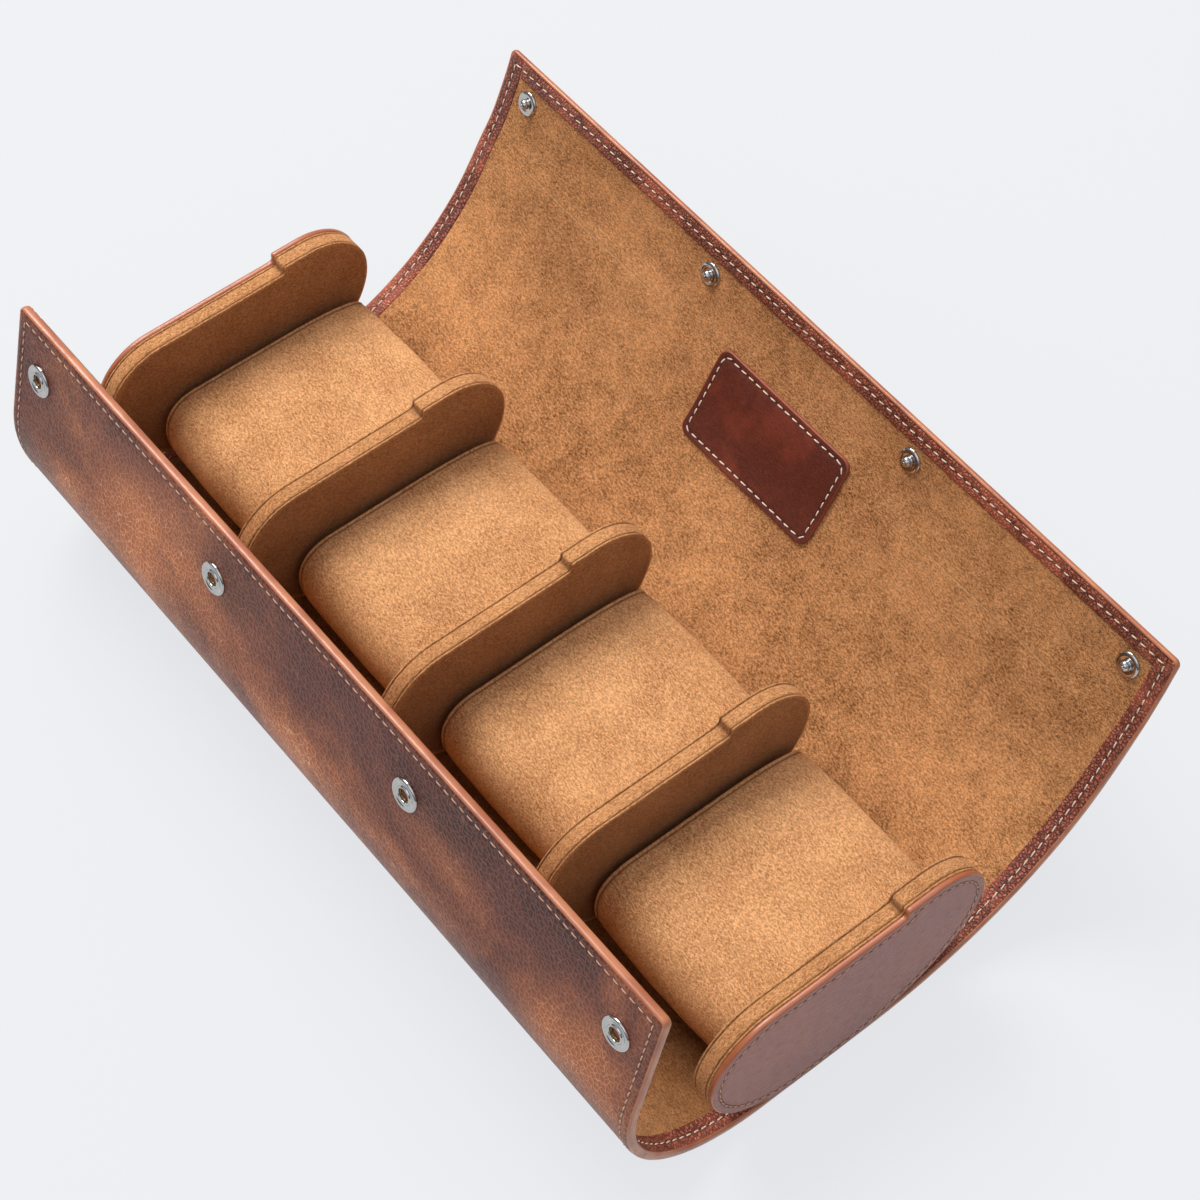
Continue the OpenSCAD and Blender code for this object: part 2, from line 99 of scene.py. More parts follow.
class Shader:
    """Builds and links nodes in one node tree.

    Args:
        tree: The node tree of a material, a world or a group.
    """

    def __init__(self, tree: bpy.types.NodeTree) -> None:
        self.tree = tree

    def feed(self, node: Node, inputs: Inputs) -> None:
        """Links sockets to a node's inputs, or sets the inputs' own values."""
        for key, value in inputs.items():
            if isinstance(value, Socket):
                self.tree.links.new(value, node.inputs[key])
            else:
                node.inputs[key].default_value = value

    def add(self, kind: str, inputs: Inputs | None = None, **settings: object) -> Node:
        """Adds a node.

        Args:
            kind: The node's type name.
            inputs: Sockets and values for its inputs, by name or number.
            settings: Properties set on the node.

        Returns:
            The new node.
        """
        node = self.tree.nodes.new(kind)
        for name, value in settings.items():
            setattr(node, name, value)
        self.feed(node, inputs or {})
        return node

    def maths(self, operation: str, first: object, second: object, clamp: bool = False) -> Socket:
        """Returns the output of a Math node on two sockets or numbers, kept between 0 and 1 if clamped."""
        ends = {0: first, 1: second}
        return self.add("ShaderNodeMath", ends, operation=operation, use_clamp=clamp).outputs[0]

    def times(self, first: object, second: object) -> Socket:
        """Returns a product."""
        return self.maths("MULTIPLY", first, second)

    def plus(self, first: object, second: object, clamp: bool = False) -> Socket:
        """Returns a sum, kept between 0 and 1 if clamped."""
        return self.maths("ADD", first, second, clamp)

    def ramp(
        self, value: object, low: float, high: float, to_low: float = 0.0, to_high: float = 1.0
    ) -> Socket:
        """Maps a value smoothly from one range to another, clamped.

        Args:
            value: A socket or a number.
            low: The value that maps to to_low.
            high: The value that maps to to_high.
            to_low: The result at low.
            to_high: The result at high.

        Returns:
            The node's output socket.
        """
        ends = {"Value": value, "From Min": low, "From Max": high, "To Min": to_low, "To Max": to_high}
        return self.add("ShaderNodeMapRange", ends, interpolation_type="SMOOTHSTEP").outputs["Result"]

    def mix(self, share: object, first: object, second: object) -> Socket:
        """Mixes two colours and returns the result's socket."""
        ends = {"Factor": share, "A": first, "B": second}
        return self.add("ShaderNodeMix", ends, data_type="RGBA").outputs["Result"]

    def tint(self, colour: object, mask: Socket, strength: float, paint: Rgb) -> Socket:
        """Paints over a colour where a mask is high, and returns the result's socket."""
        return self.mix(self.times(mask, strength), colour, srgb(paint))

    def noise(
        self, place: object, scale: float, detail: float = 2.0, rough: float = 0.5, warp: float = 0.0
    ) -> Socket:
        """Adds a noise texture and returns its factor."""
        ends = {"Vector": place, "Scale": scale, "Detail": detail, "Roughness": rough, "Distortion": warp}
        return self.add("ShaderNodeTexNoise", ends).outputs["Fac"]

    def scaled(self, place: Socket, scale: object) -> Socket:
        """Returns a place multiplied by a scale."""
        return self.add("ShaderNodeVectorMath", {0: place, "Scale": scale}, operation="SCALE").outputs[0]

    def bump(self, height: Socket, depth: float, strength: float) -> Socket:
        """Returns a normal for a height of 0 to 1, whose real size is a depth in metres."""
        ends = {"Strength": strength, "Distance": depth, "Height": height}
        return self.add("ShaderNodeBump", ends).outputs[0]

    def mask(self, name: str) -> Socket:
        """Returns the value that a mesh stores for each point under a name."""
        return self.add("ShaderNodeAttribute", attribute_name=name).outputs["Fac"]


@dataclass
class Group:
    """A shader node group with named inputs and outputs, built once and used in several materials."""

    name: str
    inputs: dict[str, float]
    outputs: tuple[str, ...]
    build: Callable[[Shader, Sockets, Socket], Sockets]
    tree: bpy.types.NodeTree | None = None

    def make(self) -> bpy.types.NodeTree:
        """Returns the group's node tree, built at the first call."""
        if self.tree is None:
            self.tree = bpy.data.node_groups.new(self.name, "ShaderNodeTree")
            face = self.tree.interface
            face.new_socket(name="Place", in_out="INPUT", socket_type="NodeSocketVector")
            for name, value in self.inputs.items():
                socket = face.new_socket(name=name, in_out="INPUT", socket_type="NodeSocketFloat")
                socket.default_value = value
            for name in self.outputs:
                face.new_socket(name=name, in_out="OUTPUT", socket_type="NodeSocketFloat")
            shader = Shader(self.tree)
            entry = shader.add("NodeGroupInput").outputs
            made = self.build(shader, {name: entry[name] for name in self.inputs}, entry["Place"])
            shader.add("NodeGroupOutput", made)
        return self.tree

    def use(self, shader: Shader, place: Socket, **values: float) -> Sockets:
        """Places the group in a material.

        Args:
            shader: The material's builder.
            place: The texture place that the effect is laid on.
            values: Numbers for the group's inputs.

        Returns:
            The group's output sockets by name.
        """
        node = shader.add("ShaderNodeGroup", node_tree=self.make())
        shader.feed(node, {"Place": place} | {name.capitalize(): value for name, value in values.items()})
        return {name: node.outputs[name] for name in self.outputs}


def _pebble(shader: Shader, given: Sockets, place: Socket) -> Sockets:
    """Builds leather grain: rounded pebbles with fine creases between them."""
    warp = shader.add("ShaderNodeTexNoise", {"Vector": place, "Scale": 260.0, "Detail": 2.0})
    ends = {0: warp.outputs["Color"], 1: (0.0016, 0.0016, 0.0016), 2: place}
    shift = shader.add("ShaderNodeVectorMath", ends, operation="MULTIPLY_ADD")
    grains = shader.scaled(shift.outputs[0], given["Scale"])
    cell = shader.add("ShaderNodeTexVoronoi", {"Vector": grains, "Scale": 1.0}, feature="DISTANCE_TO_EDGE")
    fine = shader.add("ShaderNodeTexVoronoi", {"Vector": grains, "Scale": 2.3}, feature="SMOOTH_F1")
    body = shader.ramp(cell.outputs["Distance"], 0.0, 0.35)
    dome = shader.ramp(fine.outputs["Distance"], 0.1, 0.8, 1.0, 0.0)
    height = shader.plus(shader.times(body, 0.75), shader.times(dome, 0.25))
    swell = shader.times(shader.noise(grains, 0.55, 3.0, 0.6), 0.4)
    crease = shader.ramp(cell.outputs["Distance"], 0.01, 0.065, 1.0, 0.0)
    return {"Height": shader.plus(height, swell), "Crease": crease}


def _nap(shader: Shader, given: Sockets, place: Socket) -> Sockets:
    """Builds suede: short fibres, specks of shade and broad brushed patches."""
    broad = shader.noise(shader.scaled(place, given["Brush"]), 1.0, 5.0, 0.68, 0.3)
    ends = {"Vector": place, "Rotation": (0.0, 0.0, math.radians(28)), "Scale": (0.62, 1.35, 1.0)}
    fibres = shader.scaled(shader.add("ShaderNodeMapping", ends).outputs[0], given["Fibre"])
    speck = shader.noise(fibres, 1.0, 4.0, 0.74, 0.9)
    fine = shader.noise(fibres, 2.6, 3.0, 0.72, 0.6)
    return {"Shade": shader.plus(shader.times(speck, 0.62), shader.times(fine, 0.38)), "Patch": broad}


def _mottle(shader: Shader, given: Sockets, place: Socket) -> Sockets:
    """Builds the pulled-up patches of waxed leather, with clouds inside them."""
    wide = shader.scaled(place, given["Scale"])
    broad = shader.noise(wide, 1.0, 4.0, 0.62, 0.9)
    cloud = shader.noise(wide, 3.1, 3.0, 0.6, 0.4)
    total = shader.plus(shader.times(broad, 0.72), shader.times(cloud, 0.28))
    return {"Pull": shader.ramp(total, 0.46, 0.62), "Deep": shader.ramp(total, 0.5, 0.36), "Cloud": cloud}


def _scuff(shader: Shader, given: Sockets, place: Socket) -> Sockets:
    """Builds fine wear: short streaks and specks that break up a gloss."""
    stretch = shader.add("ShaderNodeMapping", {"Vector": place, "Scale": (1.0, 3.5, 1.0)})
    streak = shader.noise(shader.scaled(stretch.outputs[0], given["Scale"]), 1.0, 3.0, 0.7)
    return {"Wear": shader.ramp(streak, 0.42, 0.7)}


PEBBLE = Group("leather_pebble", {"Scale": 700.0}, ("Height", "Crease"), _pebble)
NAP = Group("suede_nap", {"Fibre": 1500.0, "Brush": 60.0}, ("Shade", "Patch"), _nap)
MOTTLE = Group("waxed_mottle", {"Scale": 18.0}, ("Pull", "Deep", "Cloud"), _mottle)
SCUFF = Group("fine_scuff", {"Scale": 300.0}, ("Wear",), _scuff)


# Finishes


@dataclass(frozen=True)
class Finish:
    """A material of the roll. Subclasses lay their own nodes."""

    name: str

    def material(self) -> bpy.types.Material:
        """Returns the material, made at the first call."""
        material = bpy.data.materials.get(self.name)
        if material is None:
            material = bpy.data.materials.new(self.name)
            material.use_nodes = True
            shader = Shader(material.node_tree)
            place = shader.add("ShaderNodeUVMap", uv_map="UVMap").outputs[0]
            shader.feed(material.node_tree.nodes["Principled BSDF"], self.lay(shader, place))
        return material

    def lay(self, shader: Shader, place: Socket) -> Inputs:
        """Lays the finish's nodes.

        Args:
            shader: The material's builder.
            place: The flat place in metres that textures lie on.

        Returns:
            Sockets and values for the inputs of the Principled BSDF.
        """
        raise NotImplementedError


@dataclass(frozen=True)
class WaxedLeather(Finish):
    """Outer leather: dark brown, pulled up to orange tan in patches, with fine light creases."""

    deep: Rgb = (60, 25, 20)
    body: Rgb = (96, 45, 34)
    pulled: Rgb = (198, 112, 62)
    pull: float = 0.42
    mottle: float = 9.0
    rough: float = 0.42
    grain: float = 460.0
    veins: float = 1.0

    def lay(self, shader: Shader, place: Socket) -> Inputs:
        """Lays the finish's nodes."""
        patch = MOTTLE.use(shader, place, scale=self.mottle)
        grain = PEBBLE.use(shader, place, scale=self.grain)
        wear = SCUFF.use(shader, place, scale=240.0)["Wear"]
        flare = shader.times(shader.mask("flare"), shader.ramp(patch["Cloud"], 0.3, 0.6, 0.45, 1.0))
        lift = shader.plus(shader.times(patch["Pull"], self.pull), flare, clamp=True)
        colour = shader.tint(srgb(self.body), patch["Deep"], 0.85, self.deep)
        colour = shader.mix(lift, colour, srgb(self.pulled))
        reach = shader.ramp(lift, 0.0, 0.8, 0.4 * self.veins, 0.9 * self.veins)
        vein = shader.mix(lift, srgb((176, 112, 92)), srgb((244, 176, 122)))
        colour = shader.mix(shader.times(grain["Crease"], reach), colour, vein)
        colour = shader.tint(colour, wear, 0.12, (140, 88, 68))
        seam = shader.mask("seam")
        height = shader.maths("SUBTRACT", grain["Height"], shader.times(seam, 1.6))
        return {
            "Base Color": shader.tint(colour, seam, 0.6, (62, 34, 28)),
            "Roughness": shader.ramp(wear, 0.0, 1.0, self.rough - 0.05, self.rough + 0.12),
            "Specular IOR Level": 0.22,
            "Normal": shader.bump(height, 0.0002, 0.85),
        }


@dataclass(frozen=True)
class GrainedLeather(Finish):
    """Binding and label leather: red brown, with a stamped grain that catches the light."""

    low: Rgb = (78, 29, 20)
    high: Rgb = (206, 112, 82)
    grain: float = 760.0
    depth: float = 0.0004
    contrast: float = 1.0
    rough: float = 0.42

    def lay(self, shader: Shader, place: Socket) -> Inputs:
        """Lays the finish's nodes."""
        grain = PEBBLE.use(shader, place, scale=self.grain)["Height"]
        pull = MOTTLE.use(shader, place, scale=24.0)["Pull"]
        wear = SCUFF.use(shader, place, scale=420.0)["Wear"]
        ridge = shader.times(shader.ramp(grain, 0.3, 1.1), 0.6 * self.contrast)
        tone = shader.plus(ridge, shader.times(pull, 0.4))
        colour = shader.mix(tone, srgb(self.low), srgb(self.high))
        colour = shader.tint(colour, wear, 0.25 * self.contrast, (196, 110, 76))
        colour = shader.tint(colour, shader.mask("seam"), 0.75, (50, 18, 14))
        return {
            "Base Color": shader.tint(colour, shader.mask("rim"), 0.6, (168, 88, 56)),
            "Roughness": shader.ramp(grain, 0.2, 1.2, self.rough + 0.12, self.rough - 0.06),
            "Coat Weight": 0.05,
            "Coat Roughness": 0.3,
            "Normal": shader.bump(grain, self.depth, 0.9),
        }


@dataclass(frozen=True)
class PaintedEdge(Finish):
    """Edge paint: warm orange tan, smooth, with slight pooling."""

    colour: Rgb = (190, 120, 82)
    rough: float = 0.36

    def lay(self, shader: Shader, place: Socket) -> Inputs:
        """Lays the finish's nodes."""
        wear = SCUFF.use(shader, place, scale=160.0)["Wear"]
        pool = shader.ramp(shader.noise(place, 55.0), 0.35, 0.65)
        colour = shader.mix(pool, srgb(self.colour), srgb((164, 92, 58)))
        return {
            "Base Color": shader.tint(colour, wear, 0.3, (150, 74, 38)),
            "Roughness": shader.ramp(wear, 0.0, 1.0, self.rough, self.rough + 0.15),
            "Coat Weight": 0.25,
            "Coat Roughness": 0.2,
            "Normal": shader.bump(wear, 0.00004, 0.4),
        }


@dataclass(frozen=True)
class Suede(Finish):
    """Microsuede: short nap that brushes lighter and darker, with painted shade where a mesh marks it."""

    shade: Rgb
    light: Rgb
    brush: float = 60.0
    fibre: float = 1400.0
    patchy: float = 0.2
    drift: float = 0.16
    crease: float = 0.0

    def lay(self, shader: Shader, place: Socket) -> Inputs:
        """Lays the finish's nodes."""
        nap = NAP.use(shader, place, fibre=self.fibre, brush=self.brush)
        speck = shader.times(shader.ramp(nap["Shade"], 0.42, 0.58), 1.0 - self.patchy)
        patch = shader.times(shader.ramp(nap["Patch"], 0.3, 0.7), self.patchy)
        drift = shader.ramp(shader.noise(place, 16.0), 0.3, 0.7, -0.5 * self.drift, 0.5 * self.drift)
        tone = shader.plus(shader.plus(speck, patch), drift, clamp=True)
        colour = shader.mix(tone, srgb(self.shade), srgb(self.light))
        # Painted shade where a mesh marks it: in the trough before the pillows, low on the divider sides and
        # at the pillows' feet.
        colour = shader.tint(colour, shader.mask("hollow"), 0.75, (84, 48, 20))
        # Dark seam lines; on the dividers the same mask also carries painted shade in the inner corner of the
        # step.
        colour = shader.tint(colour, shader.mask("seam"), 0.72, (84, 48, 22))
        height = nap["Shade"]
        if self.crease > 0:
            line = shader.mask("crease")
            colour = shader.tint(colour, line, 0.5 * self.crease, (222, 168, 118))
            height = shader.plus(height, shader.times(line, 0.8 * self.crease))
        return {
            "Base Color": colour,
            "Roughness": 0.95,
            "Specular IOR Level": 0.12,
            "Sheen Weight": 0.14,
            "Sheen Roughness": 0.5,
            "Sheen Tint": srgb((246, 206, 160)),
            "Normal": shader.bump(height, 0.0006, 0.85),
        }


@dataclass(frozen=True)
class Thread(Finish):
    """Waxed sewing thread with a fine twist."""

    colour: Rgb

    def lay(self, shader: Shader, place: Socket) -> Inputs:
        """Lays the finish's nodes."""
        wear = SCUFF.use(shader, place, scale=900.0)["Wear"]
        return {
            "Base Color": shader.tint(srgb(self.colour), wear, 0.35, (176, 138, 108)),
            "Roughness": 0.6,
            "Sheen Weight": 0.2,
            "Normal": shader.bump(wear, 0.00006, 0.6),
        }


@dataclass(frozen=True)
class Metal(Finish):
    """Plated or bare metal with faint handling marks."""

    colour: Rgb
    rough: float

    def lay(self, shader: Shader, place: Socket) -> Inputs:
        """Lays the finish's nodes."""
        wear = SCUFF.use(shader, place, scale=700.0)["Wear"]
        return {
            "Base Color": shader.tint(srgb(self.colour), wear, 0.2, (126, 122, 118)),
            "Roughness": shader.ramp(wear, 0.0, 1.0, self.rough, self.rough + 0.14),
            "Metallic": 1.0,
        }


class Look(Enum):
    """The finishes of the roll."""

    OUTER = WaxedLeather("waxed_outer_leather")
    # Painted sheen: the caps are the outer face's waxed leather, coloured lighter and pinker to stand in for
    # light glancing off them.
    CAP_PAINTED_SHEEN = WaxedLeather(
        "waxed_cap_leather_painted_sheen", deep=(154, 108, 104), body=(162, 112, 106), pulled=(186, 120, 100), pull=0.45,
        grain=1100.0, veins=0.1
    )
    CAP_EDGE = PaintedEdge("cap_edge_paint", colour=(176, 104, 70))
    BINDING = GrainedLeather("pebbled_binding_leather")
    LABEL = GrainedLeather(
        "smooth_label_leather", low=(76, 23, 9), high=(144, 60, 36), grain=1500.0, depth=0.00006,
        contrast=0.35
    )
    EDGE = PaintedEdge("edge_paint")
    LINING = Suede(
        "brushed_lining_suede", shade=(102, 60, 26), light=(238, 170, 112), fibre=1300.0, brush=90.0,
        patchy=0.25, drift=0.22, crease=1.0
    )
    DIVIDER = Suede("turned_divider_suede", shade=(142, 90, 50), light=(236, 172, 116))
    PILLOW = Suede("soft_pillow_suede", shade=(150, 94, 52), light=(254, 194, 136), brush=50.0)
    CREAM = Thread("cream_thread", colour=(236, 212, 188))
    BROWN = Thread("tan_thread", colour=(226, 176, 144))
    CHROME = Metal("polished_nickel", colour=(188, 186, 184), rough=0.07)
    BRASS = Metal("dark_brass", colour=(120, 96, 58), rough=0.3)
    # Painted shade: a near-black disc at the foot of each socket bore stands for the shade inside it.
    SOCKET_SHADE = Metal("socket_floor_painted_shade", colour=(28, 22, 16), rough=0.5)


# Meshes


def clamp(value: float, low: float = 0.0, high: float = 1.0) -> float:
    """Returns a value kept within a range."""
    return max(low, min(high, value))


def peak(value: float, middle: float, half: float) -> float:
    """Returns 1 at a middle, falling evenly to 0 at half a width on either side."""
    return max(0.0, 1 - abs(value - middle) / half)


def bell(value: float, middle: float, width: float) -> float:
    """Returns 1 at a middle, falling softly on either side."""
    return math.exp(-(((value - middle) / width) ** 2))


def ripple(x: float, y: float, z: float) -> float:
    """Returns smooth noise about 0."""
    return noise.noise(Vector((x, y, z)))


def between(a: Pair, b: Pair, share: float) -> Pair:
    """Returns the place that is a share of the way from a to b."""
    return a[0] + (b[0] - a[0]) * share, a[1] + (b[1] - a[1]) * share


def linked(name: str, data: bpy.types.ID) -> Piece:
    """Makes an object and links it to the scene."""
    made = bpy.data.objects.new(name, data)
    bpy.context.scene.collection.objects.link(made)
    return made


@dataclass
class Sheet:
    """Points, faces, texture places and point masks that become one mesh object."""

    points: list[Point] = field(default_factory=list)
    faces: list[tuple[int, ...]] = field(default_factory=list)
    places: list[Pair] = field(default_factory=list)
    masks: dict[str, dict[int, float]] = field(default_factory=dict)

    def point(self, at: Sequence[float], place: Pair = (0.0, 0.0), **masks: float) -> int:
        """Adds a point in millimetres.

        Args:
            at: The point.
            place: Its texture place in millimetres.
            masks: Values stored for the point.

        Returns:
            The point's index.
        """
        self.points.append((at[0] * MM, at[1] * MM, at[2] * MM))
        self.places.append((place[0] * MM, place[1] * MM))
        index = len(self.points) - 1
        for name, value in masks.items():
            self.masks.setdefault(name, {})[index] = value
        return index

    def grid(self, rows: Sequence[Sequence[int]], closed: bool = False, flip: bool = False) -> None:
        """Adds quads between rows of point indices.

        Args:
            rows: Rows of equal length.
            closed: Whether each row's end joins its start.
            flip: Whether the faces are wound the other way.
        """
        for low, high in zip(rows, rows[1:]):
            count = len(low)
            for i in range(count if closed else count - 1):
                j = (i + 1) % count
                quad = (low[i], low[j], high[j], high[i])
                self.faces.append(tuple(reversed(quad)) if flip else quad)

    def fan(self, ring: Sequence[int], centre: int, flip: bool = False) -> None:
        """Closes a ring of points onto a centre point."""
        for i, index in enumerate(ring):
            tri = (index, ring[(i + 1) % len(ring)], centre)
            self.faces.append(tuple(reversed(tri)) if flip else tri)

    def cover(
        self, rim: Sequence[int], line: Sequence[Pair], shares: Sequence[float],
        add: Callable[[float, float], int], flip: bool = False
    ) -> None:
        """Closes a ring with smaller rings round its centre.

        Args:
            rim: The point indices of the ring.
            line: The ring's flat places, measured from the centre.
            shares: How large each further ring is beside the first one.
            add: Adds a point at a flat place, measured from the centre, and returns its index.
            flip: Whether the faces are wound the other way.
        """
        last = rim
        for share in shares:
            ring = [add(across * share, along * share) for across, along in line]
            self.grid([last, ring], closed=True, flip=flip)
            last = ring
        self.fan(last, add(0.0, 0.0), flip=flip)

    def build(self, name: str, look: Look, slot: str) -> Piece:
        """Makes the object.

        Args:
            name: The piece's name.
            look: Its finish.
            slot: Not used.

        Returns:
            The new object, linked to the scene.
        """
        mesh = bpy.data.meshes.new(name)
        mesh.from_pydata(self.points, [], self.faces)
        layer = mesh.uv_layers.new(name="UVMap")
        layer.data.foreach_set("uv", [part for loop in mesh.loops for part in self.places[loop.vertex_index]])
        for mask, values in self.masks.items():
            attribute = mesh.attributes.new(mask, "FLOAT", "POINT")
            attribute.data.foreach_set("value", [values.get(i, 0.0) for i in range(len(self.points))])
        mesh.polygons.foreach_set("use_smooth", [True] * len(mesh.polygons))
        mesh.materials.append(look.value.material())
        mesh.update()
        made = linked(name, mesh)
        return made


def spread(low: float, high: float, step: float, extra: Iterable[float] = ()) -> list[float]:
    """Returns even stations from low to high, with extra ones among them.

    Args:
        low: The first station.
        high: The last station.
        step: The largest distance between the even stations.
        extra: Further stations; those outside the range are left out.

    Returns:
        The sorted stations.
    """
    count = max(1, math.ceil((high - low) / step))
    even = [low + (high - low) * i / count for i in range(count + 1)]
    more = [e for e in extra if low + 0.05 < e < high - 0.05]
    kept = [e for e in even if e in (low, high) or all(abs(e - m) > 0.25 * step for m in more)]
    return sorted(kept + more)


def travelled(line: Sequence[Pair]) -> list[float]:
    """Returns the distance along a line at each of its points."""
    found = [0.0]
    for a, b in zip(line, line[1:]):
        found.append(found[-1] + math.dist(a, b))
    return found


def even_ring(line: Sequence[Pair], step: float) -> list[Pair]:
    """Returns a closed line with its points set evenly along it."""
    closed = [*line, line[0]]
    runs = [math.dist(a, b) for a, b in zip(closed, closed[1:])]
    total = sum(runs)
    count = round(total / step)
    found, i, passed = [], 0, 0.0
    for k in range(count):
        want = total * k / count
        while passed + runs[i] < want:
            passed += runs[i]
            i += 1
        found.append(between(closed[i], closed[i + 1], (want - passed) / runs[i] if runs[i] > 0 else 0.0))
    return found


def lathe(
    sheet: Sheet, centre: Vector, up: Vector, profile: Sequence[Pair], closed: bool, sides: int = 40
) -> None:
    """Turns a profile about an axis that stands at a right angle to x.

    Args:
        sheet: Receives the faces.
        centre: The foot of the axis, in millimetres.
        up: The axis, a unit vector.
        profile: Pairs of radius and height, from the outer foot to the middle.
        closed: Whether the last ring is closed onto the axis.
        sides: The number of sides.
    """
    other = up.cross(ACROSS)
    rows = []
    for radius, height in profile:
        row = []
        for k in range(sides):
            angle = 2 * math.pi * k / sides
            at = centre + (ACROSS * math.cos(angle) + other * math.sin(angle)) * radius + up * height
            place = (centre.x + radius * math.cos(angle), height + radius * math.sin(angle))
            row.append(sheet.point(at, place))
        rows.append(row)
    sheet.grid(rows, closed=True)
    if closed:
        sheet.fan(rows[-1], sheet.point(centre + up * profile[-1][1], (centre.x, 0.0)))


@dataclass(frozen=True)
class Stitcher:
    """Lays single stitches along a line."""

    pitch: float = 3.85
    length: float = 2.75
    radius: float = 0.3
    slant: float = 5.0
    lift: float = 0.04
    sides: int = 7
    capsule: tuple[Point, ...] = (
        (-1.0, 0.25, -0.28), (-0.86, 0.75, -0.06), (-0.4, 1.0, 0.08), (0.4, 1.0, 0.08), (0.86, 0.75, -0.06),
        (1.0, 0.25, -0.28)
    )

    def lay(self, sheet: Sheet, at: Vector, along: Vector, up: Vector, seed: int) -> None:
        """Adds one stitch, a slim capsule that lies half sunk in the surface.

        Args:
            sheet: Receives the stitch.
            at: The stitch's middle on the surface.
            along: The direction of the seam.
            up: The surface's outward direction.
            seed: Varies the stitch slightly.
        """
        rng = random.Random(seed)
        across = up.cross(along).normalized()
        turn = math.radians(self.slant + rng.uniform(-2.0, 2.0))
        run = (along * math.cos(turn) + across * math.sin(turn)).normalized()
        side = up.cross(run).normalized()
        half = self.length / 2 * rng.uniform(0.94, 1.05)
        rows = []
        for reach, wide, rise in self.capsule:
            row = []
            for k in range(self.sides):
                angle = 2 * math.pi * k / self.sides
                height = math.sin(angle) * self.radius * wide * 0.8 + rise + self.lift
                place = at + run * half * reach + side * math.cos(angle) * self.radius * wide + up * height
                row.append(sheet.point(place, (place.x + place.z, place.y + angle)))
            rows.append(row)
        sheet.grid(rows, closed=True, flip=True)
        for row, flip in ((rows[0], False), (rows[-1], True)):
            middle = sum((Vector(sheet.points[i]) for i in row), Vector()) / len(row) / MM
            sheet.fan(row, sheet.point(middle), flip=flip)

    def stations(self, length: float) -> list[float]:
        """Returns the middles of the stitches on a seam of a length."""
        count = max(1, round(length / self.pitch))
        return [length * (i + 0.5) / count for i in range(count)]

    def ring(
        self, sheet: Sheet, line: Sequence[Pair], at: Callable[[Pair], Vector], up: Callable[[Pair], Vector],
        seed: Callable[[int], int], track: Callable[[Pair], Vector] | None = None
    ) -> None:
        """Sews all round a closed line.

        Args:
            sheet: Receives the stitches.
            line: The line's flat places.
            at: Returns the point on the surface at a flat place.
            up: Returns the surface's outward direction there.
            seed: Returns the seed of a stitch from its number.
            track: Returns the points that give the stitches' directions; the same as at if left out.
        """
        places = even_ring(line, self.pitch)
        track = track or at
        for i, place in enumerate(places):
            run = track(places[(i + 1) % len(places)]) - track(places[i - 1])
            self.lay(sheet, at(place), run.normalized(), up(place), seed(i))


# Wrap


@dataclass(frozen=True)
class Fold:
    """A fold of the wrap: where it is, the two bodies that it joins and how far its bend reaches."""

    at: float
    before: str
    after: str
    reach: float


@dataclass(frozen=True)
class Strip:
    """A strip of the wrap that bends at one fold."""

    number: int
    low: float
    high: float
    fold: Fold


